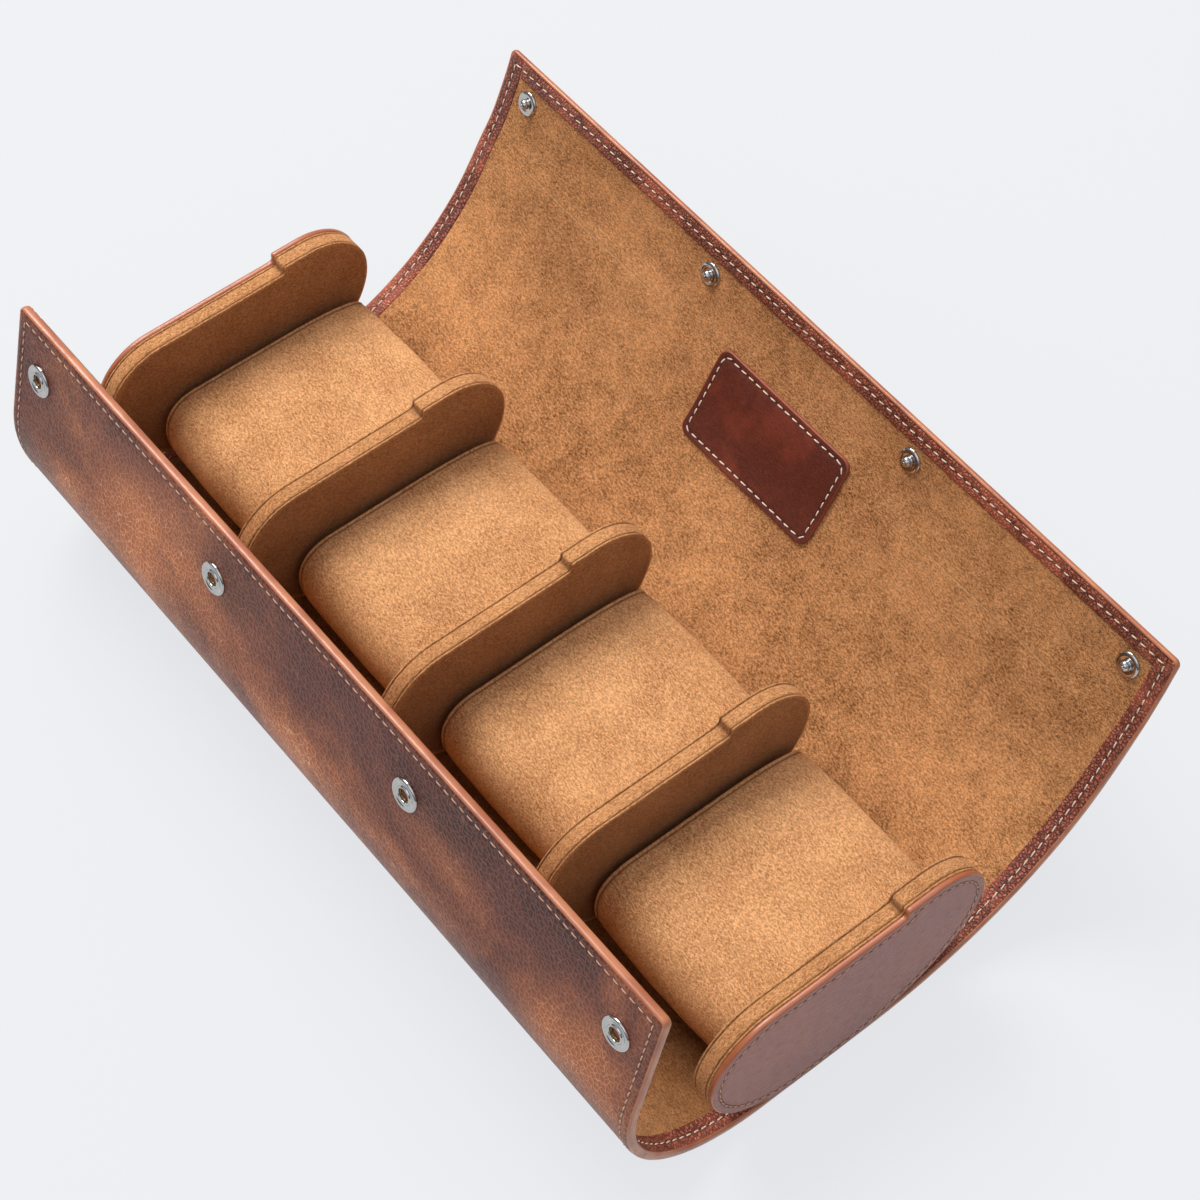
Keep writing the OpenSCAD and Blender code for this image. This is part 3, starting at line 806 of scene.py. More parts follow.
@dataclass
class Wrap:
    """The wrap: one laminate of leather, board and lining that runs from the front edge to the back edge.

    A place on it is (x, s, depth). The distance s runs along its outer face from the middle of the base,
    negative towards the front, and depth is measured inwards from the outer face. The flares are where the
    waxed leather is pulled up to a lighter tan: x and s of the middle, two half widths and a strength.
    """

    length: float = 340.0
    thick: float = 3.6
    board: float = 1.2
    soft_edge: float = 37.0
    soft_step: float = 4.0
    soft_blend: float = 7.0
    crease_at: float = 104.0
    crease_half: float = 44.0
    binding: float = 8.0
    round_edge: float = 0.9
    corner: float = 2.4
    seam_in: float = 4.0
    row_step: float = 1.8
    outer_step: float = 4.0
    lining_step: float = 3.4
    flares: tuple[tuple[float, float, float, float, float], ...] = (
        (-82.0, -136.0, 44.0, 24.0, 1.0),
        (-130.0, -118.0, 22.0, 16.0, 0.8),
        (8.0, -118.0, 46.0, 13.0, 0.5),
        (70.0, -140.0, 26.0, 10.0, 0.35),
        (140.0, -120.0, 26.0, 20.0, 0.9),
    )
    front: tuple[Pair, ...] = ((23.0, 0.0), (56 * math.radians(104), 1 / 56), (47.0, 0.0))
    back: tuple[Pair, ...] = (
        (23.0, 0.0), (120 * math.radians(33), 1 / 120), (108 * math.radians(25), 1 / 108), (55.0, 1 / 225)
    )
    folds: tuple[Fold, ...] = (
        Fold(-101.0, "front_flap", "front_shoulder", 9.0),
        Fold(-71.0, "front_shoulder", "front_lower", 10.0),
        Fold(-21.0, "front_lower", "base", 9.0),
        Fold(44.0, "base", "back_lower", 11.0),
        Fold(86.5, "back_lower", "back_middle", 9.0),
        Fold(111.0, "back_middle", "back_shoulder", 5.4),
        Fold(122.0, "back_shoulder", "back_flap", 5.4),
    )
    panels: tuple[tuple[str, ...], ...] = (
        ("front_flap",), ("front_shoulder",), ("front_lower",), ("base",), ("back_lower",), ("back_middle",),
        ("back_shoulder", "back_flap")
    )

    def __post_init__(self) -> None:
        """Works out where the two edges are."""
        self.low = -sum(part[0] for part in self.front)
        self.high = sum(part[0] for part in self.back)

    def walk(self, s: float) -> Point:
        """Returns (y, z, heading) on the outer face at a distance s, in millimetres and radians."""
        parts, left, sign = (self.back, s, 1.0) if s >= 0 else (self.front, -s, -1.0)
        y = z = angle = 0.0
        for i, (run, bend) in enumerate(parts):
            step = left if i == len(parts) - 1 else min(left, run)
            if bend == 0:
                y, z = y + step * math.cos(angle), z + step * math.sin(angle)
            else:
                end = angle + step * bend
                y += (math.sin(end) - math.sin(angle)) / bend
                z -= (math.cos(end) - math.cos(angle)) / bend
                angle = end
            left -= step
            if left <= 0:
                break
        return y * sign, z, angle

    def depth_at(self, s: float) -> float:
        """Returns the wrap's thickness at a distance s."""
        into = s - (self.high - self.soft_edge) + self.soft_blend
        drop = clamp(into / (self.soft_step + 2 * self.soft_blend))
        return self.thick - self.board * drop * drop * (3 - 2 * drop)

    def normal(self, s: float) -> Vector:
        """Returns the unit vector from the outer face towards the lining."""
        angle = self.walk(s)[2]
        return Vector((0.0, -math.sin(angle) * (1 if s >= 0 else -1), math.cos(angle)))

    def tangent(self, s: float) -> Vector:
        """Returns the unit vector along the wrap, towards the back edge."""
        return self.normal(s).cross(ACROSS)

    def at(self, x: float, s: float, depth: float) -> Vector:
        """Returns the point at (x, s, depth) in millimetres."""
        y, z, _ = self.walk(s)
        return Vector((x, y, z)) + self.normal(s) * depth

    def put(self, sheet: Sheet, x: float, s: float, depth: float, **masks: float) -> int:
        """Adds the point at (x, s, depth) to a sheet and returns its index."""
        return sheet.point(self.at(x, s, depth), (x, s), **masks)

    def half_width(self, s: float, inset: float) -> float:
        """Returns half the wrap's length at a distance s, a margin in from its rounded outline."""
        edge = min(s - self.low, self.high - s)
        radius = self.corner - inset
        if edge >= self.corner or radius <= 0:
            return self.length / 2 - inset
        return self.length / 2 - self.corner + math.sqrt(max(0.0, radius**2 - (self.corner - edge) ** 2))

    def strips(self) -> list[Strip]:
        """Returns the strips; each reaches half way to the next fold."""
        ats = [fold.at for fold in self.folds]
        cuts = [self.low] + [(a + b) / 2 for a, b in zip(ats, ats[1:])] + [self.high]
        return [Strip(i + 1, cuts[i], cuts[i + 1], fold) for i, fold in enumerate(self.folds)]

    def own_edges(self, strip: Strip) -> list[tuple[float, int]]:
        """Returns (s, way inwards) of the wrap's own edge, if the strip has such an edge."""
        return [
            (s, inwards) for s, inwards in ((self.low, 1), (self.high, -1)) if s in (strip.low, strip.high)
        ]

    def hold(self, piece: Piece, fold: Fold) -> None:
        """Bakes a piece's transform into its mesh; the span of the fold's bend is worked out but not used."""
        half = self.depth_at(fold.at) / 2
        start, end = (self.at(0.0, fold.at + way * fold.reach, half) * MM for way in (-1, 1))
        tuple(start)
        tuple(end)
        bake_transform(piece)

    def finish(self, sheet: Sheet, name: str, look: Look, slot: str, strip: Strip) -> Piece:
        """Makes a strip's piece from a sheet and bakes its transform."""
        piece = sheet.build(f"{name}_{strip.number}", look, slot)
        self.hold(piece, strip.fold)
        return piece

    def rows(self, strip: Strip, inset: float) -> list[float]:
        """Returns the stations of a strip, closer together near the edges, the seams and the board's end.

        Args:
            strip: The strip.
            inset: How far the stations keep in from the wrap's own edges.

        Returns:
            The distances s of the stations.
        """
        seam = [0.9, 1.3, 1.9, 2.4, 3.2, 3.7, 4.0, 4.3, 4.9, 6.0, 7.2]
        board = [32.9, 34.0, 35.0, 36.0, 36.6, 37.0, 37.4, 38.0]
        extra = [self.low + d for d in seam] + [self.high - d for d in seam + board]
        return spread(
            max(strip.low, self.low + inset), min(strip.high, self.high - inset), self.row_step, extra
        )

    def flare(self, x: float, s: float) -> float:
        """Returns how far the waxed leather is pulled up to its lighter tan at (x, s)."""
        stray = ripple(x * 0.012, s * 0.016, 2.2)
        worn = [
            strength * bell(x, at, wide) * bell(s, along, tall)
            for at, along, wide, tall, strength in self.flares
        ]
        return min(1.0, max(worn) * (1 + 0.8 * stray) + clamp((s + 95) / 30) * max(0.0, 2.2 * stray - 0.1))

    def outer_skin(self, strip: Strip) -> Piece:
        """Builds the outer leather of a strip, sunk a little under its seam."""
        sheet = Sheet()
        rim, half = self.round_edge, self.length / 2
        lines = [rim, 1.3, 2.4, 3.2, 3.7, 4.0, 4.3, 4.9, 6.0, 8.0]
        columns = [-half + d for d in lines] + spread(-half + 10.0, half - 10.0, self.outer_step)
        columns += [half - d for d in reversed(lines)]
        grid = []
        for s in self.rows(strip, rim):
            wide = self.half_width(s, rim)
            row = []
            for x in columns:
                x = clamp(x, -wide, wide) if abs(x) > half - 5 else x
                edge = min(half - abs(x), s - self.low, self.high - s)
                # It swells beside the seam, sinks under the stitches and rolls in at the rim.
                swell = 0.1 * bell(edge, 2.4, 0.9) - 0.16 * bell(edge, self.seam_in, 0.6)
                swell -= 0.25 * max(0.0, 1 - (edge - rim) / 0.7)
                wave = 0.12 * ripple(x * 0.02, s * 0.03, 3.1) * clamp((edge - 5) / 20)
                seam = peak(edge, self.seam_in, 0.55)
                row.append(self.put(sheet, x, s, -swell - wave, seam=seam, flare=self.flare(x, s)))
            grid.append(row)
        sheet.grid(grid)
        return self.finish(sheet, "outer_leather", Look.OUTER, "outer_leather", strip)

    def lining_skin(self, strip: Strip) -> Piece:
        """Builds the suede lining of a strip, with the faint crease at the end of the back flap's board and
        painted shade that is darkest 30 mm forward of the base's middle.
        """
        sheet = Sheet()
        inset = self.binding - 0.8
        half = self.length / 2 - inset
        grid = []
        for s in self.rows(strip, inset):
            row = []
            for x in spread(-half, half, self.lining_step):
                # The crease shows round one place in each half of the flap and fades out over 12 mm.
                along = clamp((self.crease_half - abs(abs(x) - self.crease_at)) / 12)
                crease = along * peak(self.high - s, self.soft_edge + 0.5 * ripple(x * 0.04, 0.0, 9.0), 0.55)
                lift = 0.2 * crease + 0.132 * ripple(x * 0.018, s * 0.035, 7.7) - 0.2
                # Painted shade: darkest 30 mm forward of the base's middle, gone 55 mm to either side.
                hollow = peak(s, -30.0, 55.0)
                row.append(self.put(sheet, x, s, self.depth_at(s) + lift, crease=crease, hollow=hollow))
            grid.append(row)
        sheet.grid(grid, flip=True)
        return self.finish(sheet, "lining", Look.LINING, "lining_suede", strip)

    def band_level(self, s: float, edge: float) -> float:
        """Returns the depth of the binding's face, at a distance s and a distance in from the wrap's edge."""
        if edge > self.binding - 1.0:
            return self.depth_at(s) + 0.16 - 0.62 * (edge - self.binding + 1.0) ** 2
        dip = 0.2 * bell(edge, self.seam_in, 0.55) + 0.22 * max(0.0, 1 - (edge - self.round_edge) / 0.7)
        return self.depth_at(s) + 0.12 + 0.08 * math.sin((edge - 1) * 0.55) - dip

    def binding_skin(self, strip: Strip) -> Piece:
        """Builds the binding along both ends of a strip, and along the wrap's own edge if it is there."""
        sheet = Sheet()
        rim, half, inner = self.round_edge, self.length / 2, self.length / 2 - self.binding
        lines = [rim, 1.5, 2.4, 3.2, 3.7, 4.0, 4.3, 4.9, 6.0, 7.0, 7.4, 7.7, 7.9, 8.0]
        for side in (-1, 1):
            grid = []
            for s in self.rows(strip, rim):
                wide = self.half_width(s, rim)
                row = []
                for line in lines:
                    x = min(half - line, wide)
                    seam = peak(half - x, self.seam_in, 0.6)
                    row.append(self.put(sheet, side * x, s, self.band_level(s, line), seam=seam))
                grid.append(row)
            sheet.grid(grid, flip=side < 0)
        ends = [inner, inner + 0.3, inner + 0.4]
        columns = [-x for x in reversed(ends)] + spread(-inner + 0.5, inner - 0.5, 3.0) + ends
        for edge, inwards in self.own_edges(strip):
            grid = []
            for line in lines:
                s = edge + inwards * line
                seam = peak(line, self.seam_in, 0.6)
                row = []
                for x in columns:
                    tuck = max(0.0, (abs(x) - inner + 0.2) / 0.6)
                    level = self.band_level(s, line) + 0.28 - 0.4 * tuck**2
                    row.append(sheet.point(self.at(x, s, level), (s + 400, x), seam=seam))
                grid.append(row)
            sheet.grid(grid, flip=inwards > 0)
        return self.finish(sheet, "binding", Look.BINDING, "binding_leather", strip)

    def outline(self, strip: Strip, inset: float) -> list[list[tuple[float, float, float, float]]]:
        """Returns the wrap's outline beside a strip.

        Args:
            strip: The strip.
            inset: How far in from the outline the line lies.

        Returns:
            Runs of (x, s, nx, ns), each a place and the outward direction there.
        """
        half, corner = self.length / 2, self.corner
        first, last = strip.low == self.low, strip.high == self.high
        start = self.low + corner if first else strip.low
        stations = spread(start, self.high - corner if last else strip.high, self.row_step)
        right = [(half - inset, s, 1.0, 0.0) for s in stations]
        left = [(-half + inset, s, -1.0, 0.0) for s in reversed(stations)]
        if not first and not last:
            return [right, left]

        def arc(x: float, s: float, begin: float) -> list[tuple[float, float, float, float]]:
            """Returns a rounded corner about (x, s), a quarter turn from an angle."""
            turns = [math.radians(begin + 90 * k / 8) for k in range(9)]
            r = corner - inset
            return [(x + r * math.cos(t), s + r * math.sin(t), math.cos(t), math.sin(t)) for t in turns]

        side, edge, begin = (1, self.high, 0) if last else (-1, self.low, 180)
        across = sorted(spread(-half + corner, half - corner, self.outer_step), reverse=last)
        top = arc(side * (half - corner), edge - side * corner, begin)
        top += [(x, edge - side * inset, 0.0, float(side)) for x in across[1:-1]]
        top += arc(-side * (half - corner), edge - side * corner, begin + 90)
        return [right[:-1] + top + left[1:] if last else left[:-1] + top + right[1:]]

    def edge_skin(self, strip: Strip) -> Piece:
        """Builds the painted edge of a strip, a bead from the outer face round to the binding."""
        sheet = Sheet()
        turns = [-1.0, -0.97, -0.88, -0.7, -0.45, -0.15, 0.15, 0.45, 0.7, 0.88, 0.97, 1.0]
        rim = self.round_edge
        for run in self.outline(strip, rim):
            grid = []
            for walked, (x, s, nx, ns) in zip(travelled([place[:2] for place in run]), run):
                wobble = 0.06 * ripple(walked * 0.15, strip.number * 3.0, 1.0)
                row = []
                for turn in turns:
                    out = min(rim, rim * (1 - abs(turn) ** 2.6) ** (1 / 2.6) + wobble * (1 - turn * turn))
                    depth = 0.25 + (self.depth_at(s) - 0.35) * (turn + 1) / 2
                    row.append(sheet.point(self.at(x + nx * out, s + ns * out, depth), (walked, depth * 2)))
                grid.append(row)
            sheet.grid(grid, flip=True)
        return self.finish(sheet, "painted_edge", Look.EDGE, "binding_leather", strip)

    def seams(self, strip: Strip) -> None:
        """Sews a strip: one seam on the outer face and one on the binding."""
        half = self.length / 2 - self.seam_in
        for name, look, slot, stitcher, facing in (
            ("outer_stitches", Look.BROWN, "outer_leather", Stitcher(radius=0.26, slant=-4.0), -1),
            ("binding_stitches", Look.CREAM, "binding_leather", Stitcher(radius=0.27, slant=6.0), 1),
        ):
            sheet = Sheet()
            for k, t in enumerate(stitcher.stations(self.high - self.low - 2 * self.seam_in)):
                s = self.low + self.seam_in + t
                if strip.low <= s < strip.high:
                    level = self.depth_at(s) + 0.02 if facing > 0 else 0.1
                    for side in (-1, 1):
                        at, seed = self.at(side * half, s, level), k * 7 + side + strip.number
                        stitcher.lay(sheet, at, self.tangent(s) * side, self.normal(s) * facing, seed)
            for edge, inwards in self.own_edges(strip):
                s = edge + inwards * self.seam_in
                level = self.depth_at(s) + (0.25 if s > 0 else 0.2) if facing > 0 else 0.1
                for k, t in enumerate(stitcher.stations(2 * half)):
                    at = self.at(-half + t, s, level)
                    stitcher.lay(sheet, at, ACROSS, self.normal(s) * facing, k * 11 + 5)
            self.finish(sheet, name, look, slot, strip)

    def build(self) -> None:
        """Builds every strip and hides the plain panels that they stand for."""
        for strip, mine in zip(self.strips(), self.panels):
            outer, lining = self.outer_skin(strip), self.lining_skin(strip)
            binding = self.binding_skin(strip)
            self.edge_skin(strip)
            self.seams(strip)
            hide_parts(*[f"{panel}_leather" for panel in mine])
            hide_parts(*[f"{panel}_{layer}" for panel in mine for layer in ("lining", "board")])
            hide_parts(*[f"{panel}_binding" for panel in mine])
            LOG.info("wrap strip %d from %.1f to %.1f mm", strip.number, strip.low, strip.high)


# Dividers


def quarter(
    cy: float, cz: float, ry: float, rz: float, begin: float, end: float, power: float = 2.0, count: int = 24
) -> list[Pair]:
    """Returns a quarter of a superellipse.

    Args:
        cy: The centre's y.
        cz: The centre's z.
        ry: The radius along y.
        rz: The radius along z.
        begin: The first angle in degrees.
        end: The last angle in degrees.
        power: 2 for an ellipse, more for a squarer form.
        count: The number of steps.

    Returns:
        Pairs of y and z.
    """
    found = []
    for i in range(count + 1):
        angle = math.radians(begin + (end - begin) * i / count)
        c, s = math.cos(angle), math.sin(angle)
        y, z = (math.copysign(abs(part) ** (2 / power), part) for part in (c, s))
        found.append((cy + ry * y, cz + rz * z))
    return found


@dataclass
class Dividers:
    """Five suede dividers with a stepped top, and the leather caps on the two end ones.

    The side gives a divider's section at the turned seam: how far each ring lies from its face, how far in
    from its outline and how dark the seam is there. The front of a cap gives how far in each ring lies, how
    far it stands out and how dark the seam is. The side of a cap gives turns from -1 to 1 across its edge.
    """

    thick: float = 7.0
    cap: float = 2.2
    cap_face: float = 171.0
    floor: float = 3.6
    nose_front: float = -46.5
    nose_back: float = 67.0
    height: float = 65.8
    recess: float = 3.6
    step_y: float = 32.0
    front_z: float = 37.0
    back_z: float = 43.0
    front_round: float = 24.5
    back_round: float = 24.0
    foot_front: float = -5.0
    foot_back: float = 7.0
    count: int = 5
    soft: float = 1.1
    side: tuple[Point, ...] = (
        (0.0, 0.75, 0.1), (0.0, 0.42, 0.0), (0.12, 0.16, 0.0), (0.35, 0.02, 0.0), (0.62, 0.05, 0.1),
        (0.8, 0.24, 0.7), (0.95, 0.45, 1.0), (1.1, 0.24, 0.7), (1.35, 0.06, 0.1), (2.0, 0.0, 0.0)
    )
    cap_side: tuple[float, ...] = (-1.0, -0.95, -0.8, -0.5, -0.15, 0.15, 0.5, 0.8, 0.95, 1.0)
    cap_front: tuple[Point, ...] = (
        (0.55, -0.1, 0), (1.0, 0.0, 0), (2.2, 0.0, 0), (2.8, -0.03, 0.2), (3.1, -0.14, 1), (3.4, -0.2, 1),
        (3.7, -0.14, 1), (4.1, -0.02, 0.1), (6.0, 0.0, 0)
    )

    def outline(self, margin: float = 0.0) -> list[Pair]:
        """Returns the divider's outline, clockwise seen from +X, its step softened.

        Args:
            margin: How far in from the outline the line lies; every margin gives the same number of points.

        Returns:
            Pairs of y and z.
        """
        m = margin
        top = self.floor + self.height - m
        low = top - self.recess
        fz, bz = self.floor + self.front_z, self.floor + self.back_z
        inner, outer = min(self.soft + m, 2.7), max(self.soft - m, 0.25)
        wall, foot, heel = self.step_y + m, self.foot_front, self.foot_back
        start, stop = self.nose_front + self.front_round, self.nose_back - self.back_round
        bend = [(math.sin(math.radians(a)), math.cos(math.radians(a))) for a in (0, 22, 45, 67, 90)]
        line = quarter(foot, fz, foot - self.nose_front - m, fz - self.floor - m, 270, 180, count=44)
        line += quarter(start, fz, self.front_round - m, low - fz, 180, 90, count=30)[1:]
        line += [(start + (wall - inner - start) * k / 36, low) for k in range(1, 36)]
        line += [(wall - inner + inner * s, low + inner - inner * c) for s, c in bend]
        line += [(wall + outer - outer * c, top - outer + outer * s) for s, c in bend]
        line += [(wall + outer + (stop - wall - outer) * k / 8, top) for k in range(1, 8)]
        line += quarter(stop, bz, self.back_round - m, top - bz, 90, 0, count=32)
        line += quarter(heel, bz, self.nose_back - heel - m, bz - self.floor - m, 0, -90, count=44)[1:]
        line += [(heel + (foot - heel) * k / 8, self.floor + m) for k in range(1, 8)]
        return line

    def middle(self, number: int) -> float:
        """Returns the x of a divider's middle, counted from 1."""
        pitch = 2 * (self.cap_face - self.cap - self.thick / 2) / (self.count - 1)
        return (number - (self.count + 1) / 2) * pitch

    def close_face(self, sheet: Sheet, margin: float, rim: list[int], x: float, out: int) -> None:
        """Closes a flat side with rings that shrink towards a point from which the whole side can be seen.

        Args:
            sheet: Receives the faces.
            margin: How far in the rim lies.
            rim: The point indices of the side's rim.
            x: Where the side lies.
            out: +1 or -1, the direction that the side faces.
        """
        cy, cz = self.step_y + 10.0, self.floor + self.front_z - 2.0

        def add(across: float, along: float) -> int:
            """Adds a point of the side, with painted shade that grows darker the lower it lies."""
            y, z = cy + across, cz + along
            # Painted shade: every side is darkened, more so towards its foot.
            hollow = min(0.85, 0.32 + (self.floor + self.height - z) / 80)
            return sheet.point((x, y, z), (y + x * 3, z), hollow=hollow)

        line = [(y - cy, z - cz) for y, z in self.outline(margin)]
        sheet.cover(rim, line, (0.97, 0.92, 0.82, 0.66, 0.48, 0.3, 0.14), add, flip=out > 0)

    def divider(self, number: int) -> Piece:
        """Builds one divider with its turned seams along both sides of the edge band, and painted shade in
        its step's inner corner and on its sides.
        """
        sheet = Sheet()
        x0, half, rim_in = self.middle(number), self.thick / 2, self.side[0][1]
        profile = [(d - half, inset, seam) for d, inset, seam in self.side] + [(0.0, 0.0, 0.0)]
        profile += [(-x, inset, seam) for x, inset, seam in reversed(profile[:-1])]
        foot = (self.step_y - 0.3, self.floor + self.height - self.recess + 0.3)
        travel = travelled(self.outline())
        rows = []
        for dx, inset, seam in profile:
            row = []
            for run, near, far in zip(travel, self.outline(inset), self.outline(inset + 0.1)):
                y, z = between(near, far, max(0.0, 0.5 + 1.1 * ripple(run * 0.14, number * 5.0, dx * 0.4)))
                wander = 0.12 * ripple(run * 0.07, number * 2.0, 4.0) * (1 - abs(dx) / half)
                # Painted shade: the seam mask also darkens the band in the inner corner of the step.
                fold = bell(math.dist(near, foot), 0.0, 0.9)
                place = (y + 3 * (x0 + dx), z) if inset == rim_in else (run + 31 * number, dx)
                row.append(sheet.point((x0 + dx + wander, y, z), place, seam=max(seam, 0.85 * fold)))
            rows.append(row)
        sheet.grid(rows, closed=True, flip=True)
        self.close_face(sheet, rim_in, rows[0], x0 - half, -1)
        self.close_face(sheet, rim_in, rows[-1], x0 + half, 1)
        made = sheet.build(f"divider_{number}_suede", Look.DIVIDER, "divider_suede")
        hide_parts(f"divider_{number}")
        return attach(made, "base")

    def cap_piece(self, side: int) -> None:
        """Builds an end cap: a leather face with a seam, and its painted edge."""
        outer, inner = self.cap_face * side, (self.cap_face - self.cap) * side
        word = "right" if side > 0 else "left"
        edge = Sheet()
        rows = []
        for turn in self.cap_side:
            line = self.outline(0.62 * (1 - (1 - abs(turn) ** 2.4) ** (1 / 2.4)))
            x = (inner + outer) / 2 + side * turn * (self.cap - 0.1) / 2
            rows.append([edge.point((x, y, z), (i * 1.1, turn)) for i, (y, z) in enumerate(line)])
        edge.grid(rows, closed=True, flip=side > 0)
        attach(edge.build(f"end_cap_edge_{word}", Look.CAP_EDGE, "binding_leather"), "base")
        face = Sheet()
        flat = outer - side * 0.03
        rows = []
        for inset, rise, seam in self.cap_front:
            x = flat + side * rise
            rows.append([face.point((x, y, z), (y + 3 * flat, z), seam=seam) for y, z in self.outline(inset)])
        face.grid(rows, closed=True, flip=side > 0)
        self.close_face(face, self.cap_front[-1][0], rows[-1], flat, side)
        # The cap face's lighter, pinker colour is painted sheen over its own grain.
        leather = face.build(f"end_cap_face_{word}", Look.CAP_PAINTED_SHEEN, "binding_leather")
        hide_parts(f"end_cap_{word}")
        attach(leather, "base")
        thread = Sheet()
        Stitcher(radius=0.25, slant=4.0).ring(
            thread, self.outline(3.4), at=lambda place: Vector((outer - side * 0.12, *place)),
            up=lambda place: ACROSS * side, seed=lambda i: i * 3 + side
        )
        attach(thread.build(f"end_cap_stitches_{word}", Look.BROWN, "binding_leather"), "base")
        LOG.info("%s end cap at x %.1f mm", word, outer)

    def build(self) -> None:
        """Builds the dividers and both caps."""
        for number in range(1, self.count + 1):
            made = self.divider(number)
            if number == 1:
                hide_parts("divider_boards")
            LOG.info("divider %d at x %.1f mm", number, self.middle(number))
        for side in (-1, 1):
            self.cap_piece(side)


# Pillows


@dataclass
class Pillows:
    """Four foam pillows in suede covers, each with a sewn seam near either side.

    The side gives a pillow's section near its side: how far each ring lies in from the side, how far in from
    the outline and how dark the seam is there.
    """

    floor: float = 3.9
    front: float = -29.0
    back: float = 62.5
    height: float = 36.5
    nose: float = 25.0
    waist: float = 0.54
    front_mid: float = 16.0
    back_mid: float = 31.5
    foot_mid: float = 43.0
    gap: float = 2.6
    side: tuple[Point, ...] = (
        (1.1, 13.0, 0.0), (0.75, 9.5, 0.0), (0.35, 6.6, 0.0), (0.06, 3.9, 0.0), (0.0, 2.5, 0.0),
        (0.08, 1.75, 0.0), (0.4, 1.3, 0.0), (0.8, 1.12, 0.0), (1.2, 1.15, 0.1), (1.5, 1.4, 0.8),
        (1.7, 1.62, 1.0), (1.9, 1.4, 0.8), (2.3, 1.14, 0.1), (3.2, 0.95, 0.0), (5.0, 0.75, 0.0),
        (8.0, 0.5, 0.0)
    )

    def outline(self, inset: float) -> list[Pair]:
        """Returns the pillow's outline from the side, clockwise seen from +X, drawn in by an inset."""
        fz, bz = self.floor + self.height * self.waist, self.floor + self.nose
        top, low = self.floor + self.height - inset, self.floor + inset
        fy, by = self.front + inset, self.back - inset
        front_mid, back_mid, foot_mid = (
            self.front + d for d in (self.front_mid, self.back_mid, self.foot_mid)
        )
        line = quarter(front_mid, fz, front_mid - fy, fz - low, 270, 180, 2.3, 26)
        line += quarter(front_mid, fz, front_mid - fy, top - fz, 180, 90, 2.3, 26)[1:]
        line += quarter(back_mid, bz, by - back_mid, top - bz, 90, 0, 3.0, 34)
        line += quarter(foot_mid, bz, by - foot_mid, bz - low, 0, -90, 1.6, 30)[1:]
        return line

    def pillow(self, number: int, middle: float, width: float) -> Piece:
        """Builds one pillow.

        Args:
            number: Its number, from 1.
            middle: The x of its middle.
            width: Its width.

        Returns:
            The pillow's object.
        """
        sheet = Sheet()
        half = width / 2
        stations = [(half - d, inset, seam) for d, inset, seam in self.side]
        stations += [(half * k, 0.5 * (half * k / (half - 8.0)) ** 2, 0.0) for k in (0.6, 0.42, 0.26, 0.1)]
        across = [(-x, inset, seam) for x, inset, seam in stations] + stations[::-1]
        travel = travelled(self.outline(0.0))
        rows = []
        for dx, inset, seam in across:
            row = []
            for i, (y, z) in enumerate(self.outline(inset)):
                # The cover sinks softly on top, less near its seams, and its seams wander a little.
                seed = Vector((dx * 0.035, y * 0.04, z * 0.04 + number * 11.0))
                soft = 0.5 * noise.noise(seed) + 0.18 * noise.noise(seed * 3.7)
                upper = clamp((z - self.floor - 4.0) / 8.0)
                sink = soft * clamp((half - abs(dx)) / 8.0, 0.15) * upper - 0.35 * upper
                away = Vector((0.0, y - 17.0, z - self.floor - self.height * 0.5)).normalized()
                stray = ripple(i * 0.06, number * 3.0, 5.0 if dx > 0 else 8.0) if abs(dx) > half - 4 else 0.0
                x = middle + dx - math.copysign(max(0.0, 0.35 * stray), dx)
                # Each pillow takes its own part of the texture, and so do its flat sides.
                on_side = inset >= 2.5
                place = (y + 3 * dx, z + 70 * number) if on_side else (
                    dx + 80 * number, travel[i] + 13 * number
                )
                # Painted shade along the pillow's foot, fading out 18 mm up.
                hollow = 0.8 * max(0.0, 1 - (z - self.floor) / 18)
                row.append(sheet.point(Vector((x, y, z)) + away * sink, place, seam=seam, hollow=hollow))
            rows.append(row)
        sheet.grid(rows, closed=True, flip=True)
        for row, dx in ((rows[0], across[0][0]), (rows[-1], across[-1][0])):
            flat = [(sheet.points[i][1] / MM, sheet.points[i][2] / MM) for i in row]
            cy, cz = (sum(part) / len(row) for part in zip(*flat))

            def add(sideways: float, upwards: float) -> int:
                """Adds a point of the pillow's flat side."""
                y, z = cy + sideways, cz + upwards
                return sheet.point((middle + dx, y, z), (y + 3 * dx, z + 70 * number))

            sheet.cover(row, [(y - cy, z - cz) for y, z in flat], (0.8, 0.55, 0.28), add, flip=dx > 0)
        made = sheet.build(f"pillow_{number}_cover", Look.PILLOW, "pillow_suede")
        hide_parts(f"pillow_cover_{number}", f"pillow_core_{number}")
        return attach(made, f"pillow_{number}")

    def build(self, dividers: Dividers) -> None:
        """Builds the pillows between the dividers."""
        for number in range(1, dividers.count):
            left, right = dividers.middle(number), dividers.middle(number + 1)
            width = right - left - dividers.thick - 2 * self.gap
            self.pillow(number, (left + right) / 2, width)
            LOG.info("pillow %d, %.1f mm wide", number, width)


# Fastenings and label


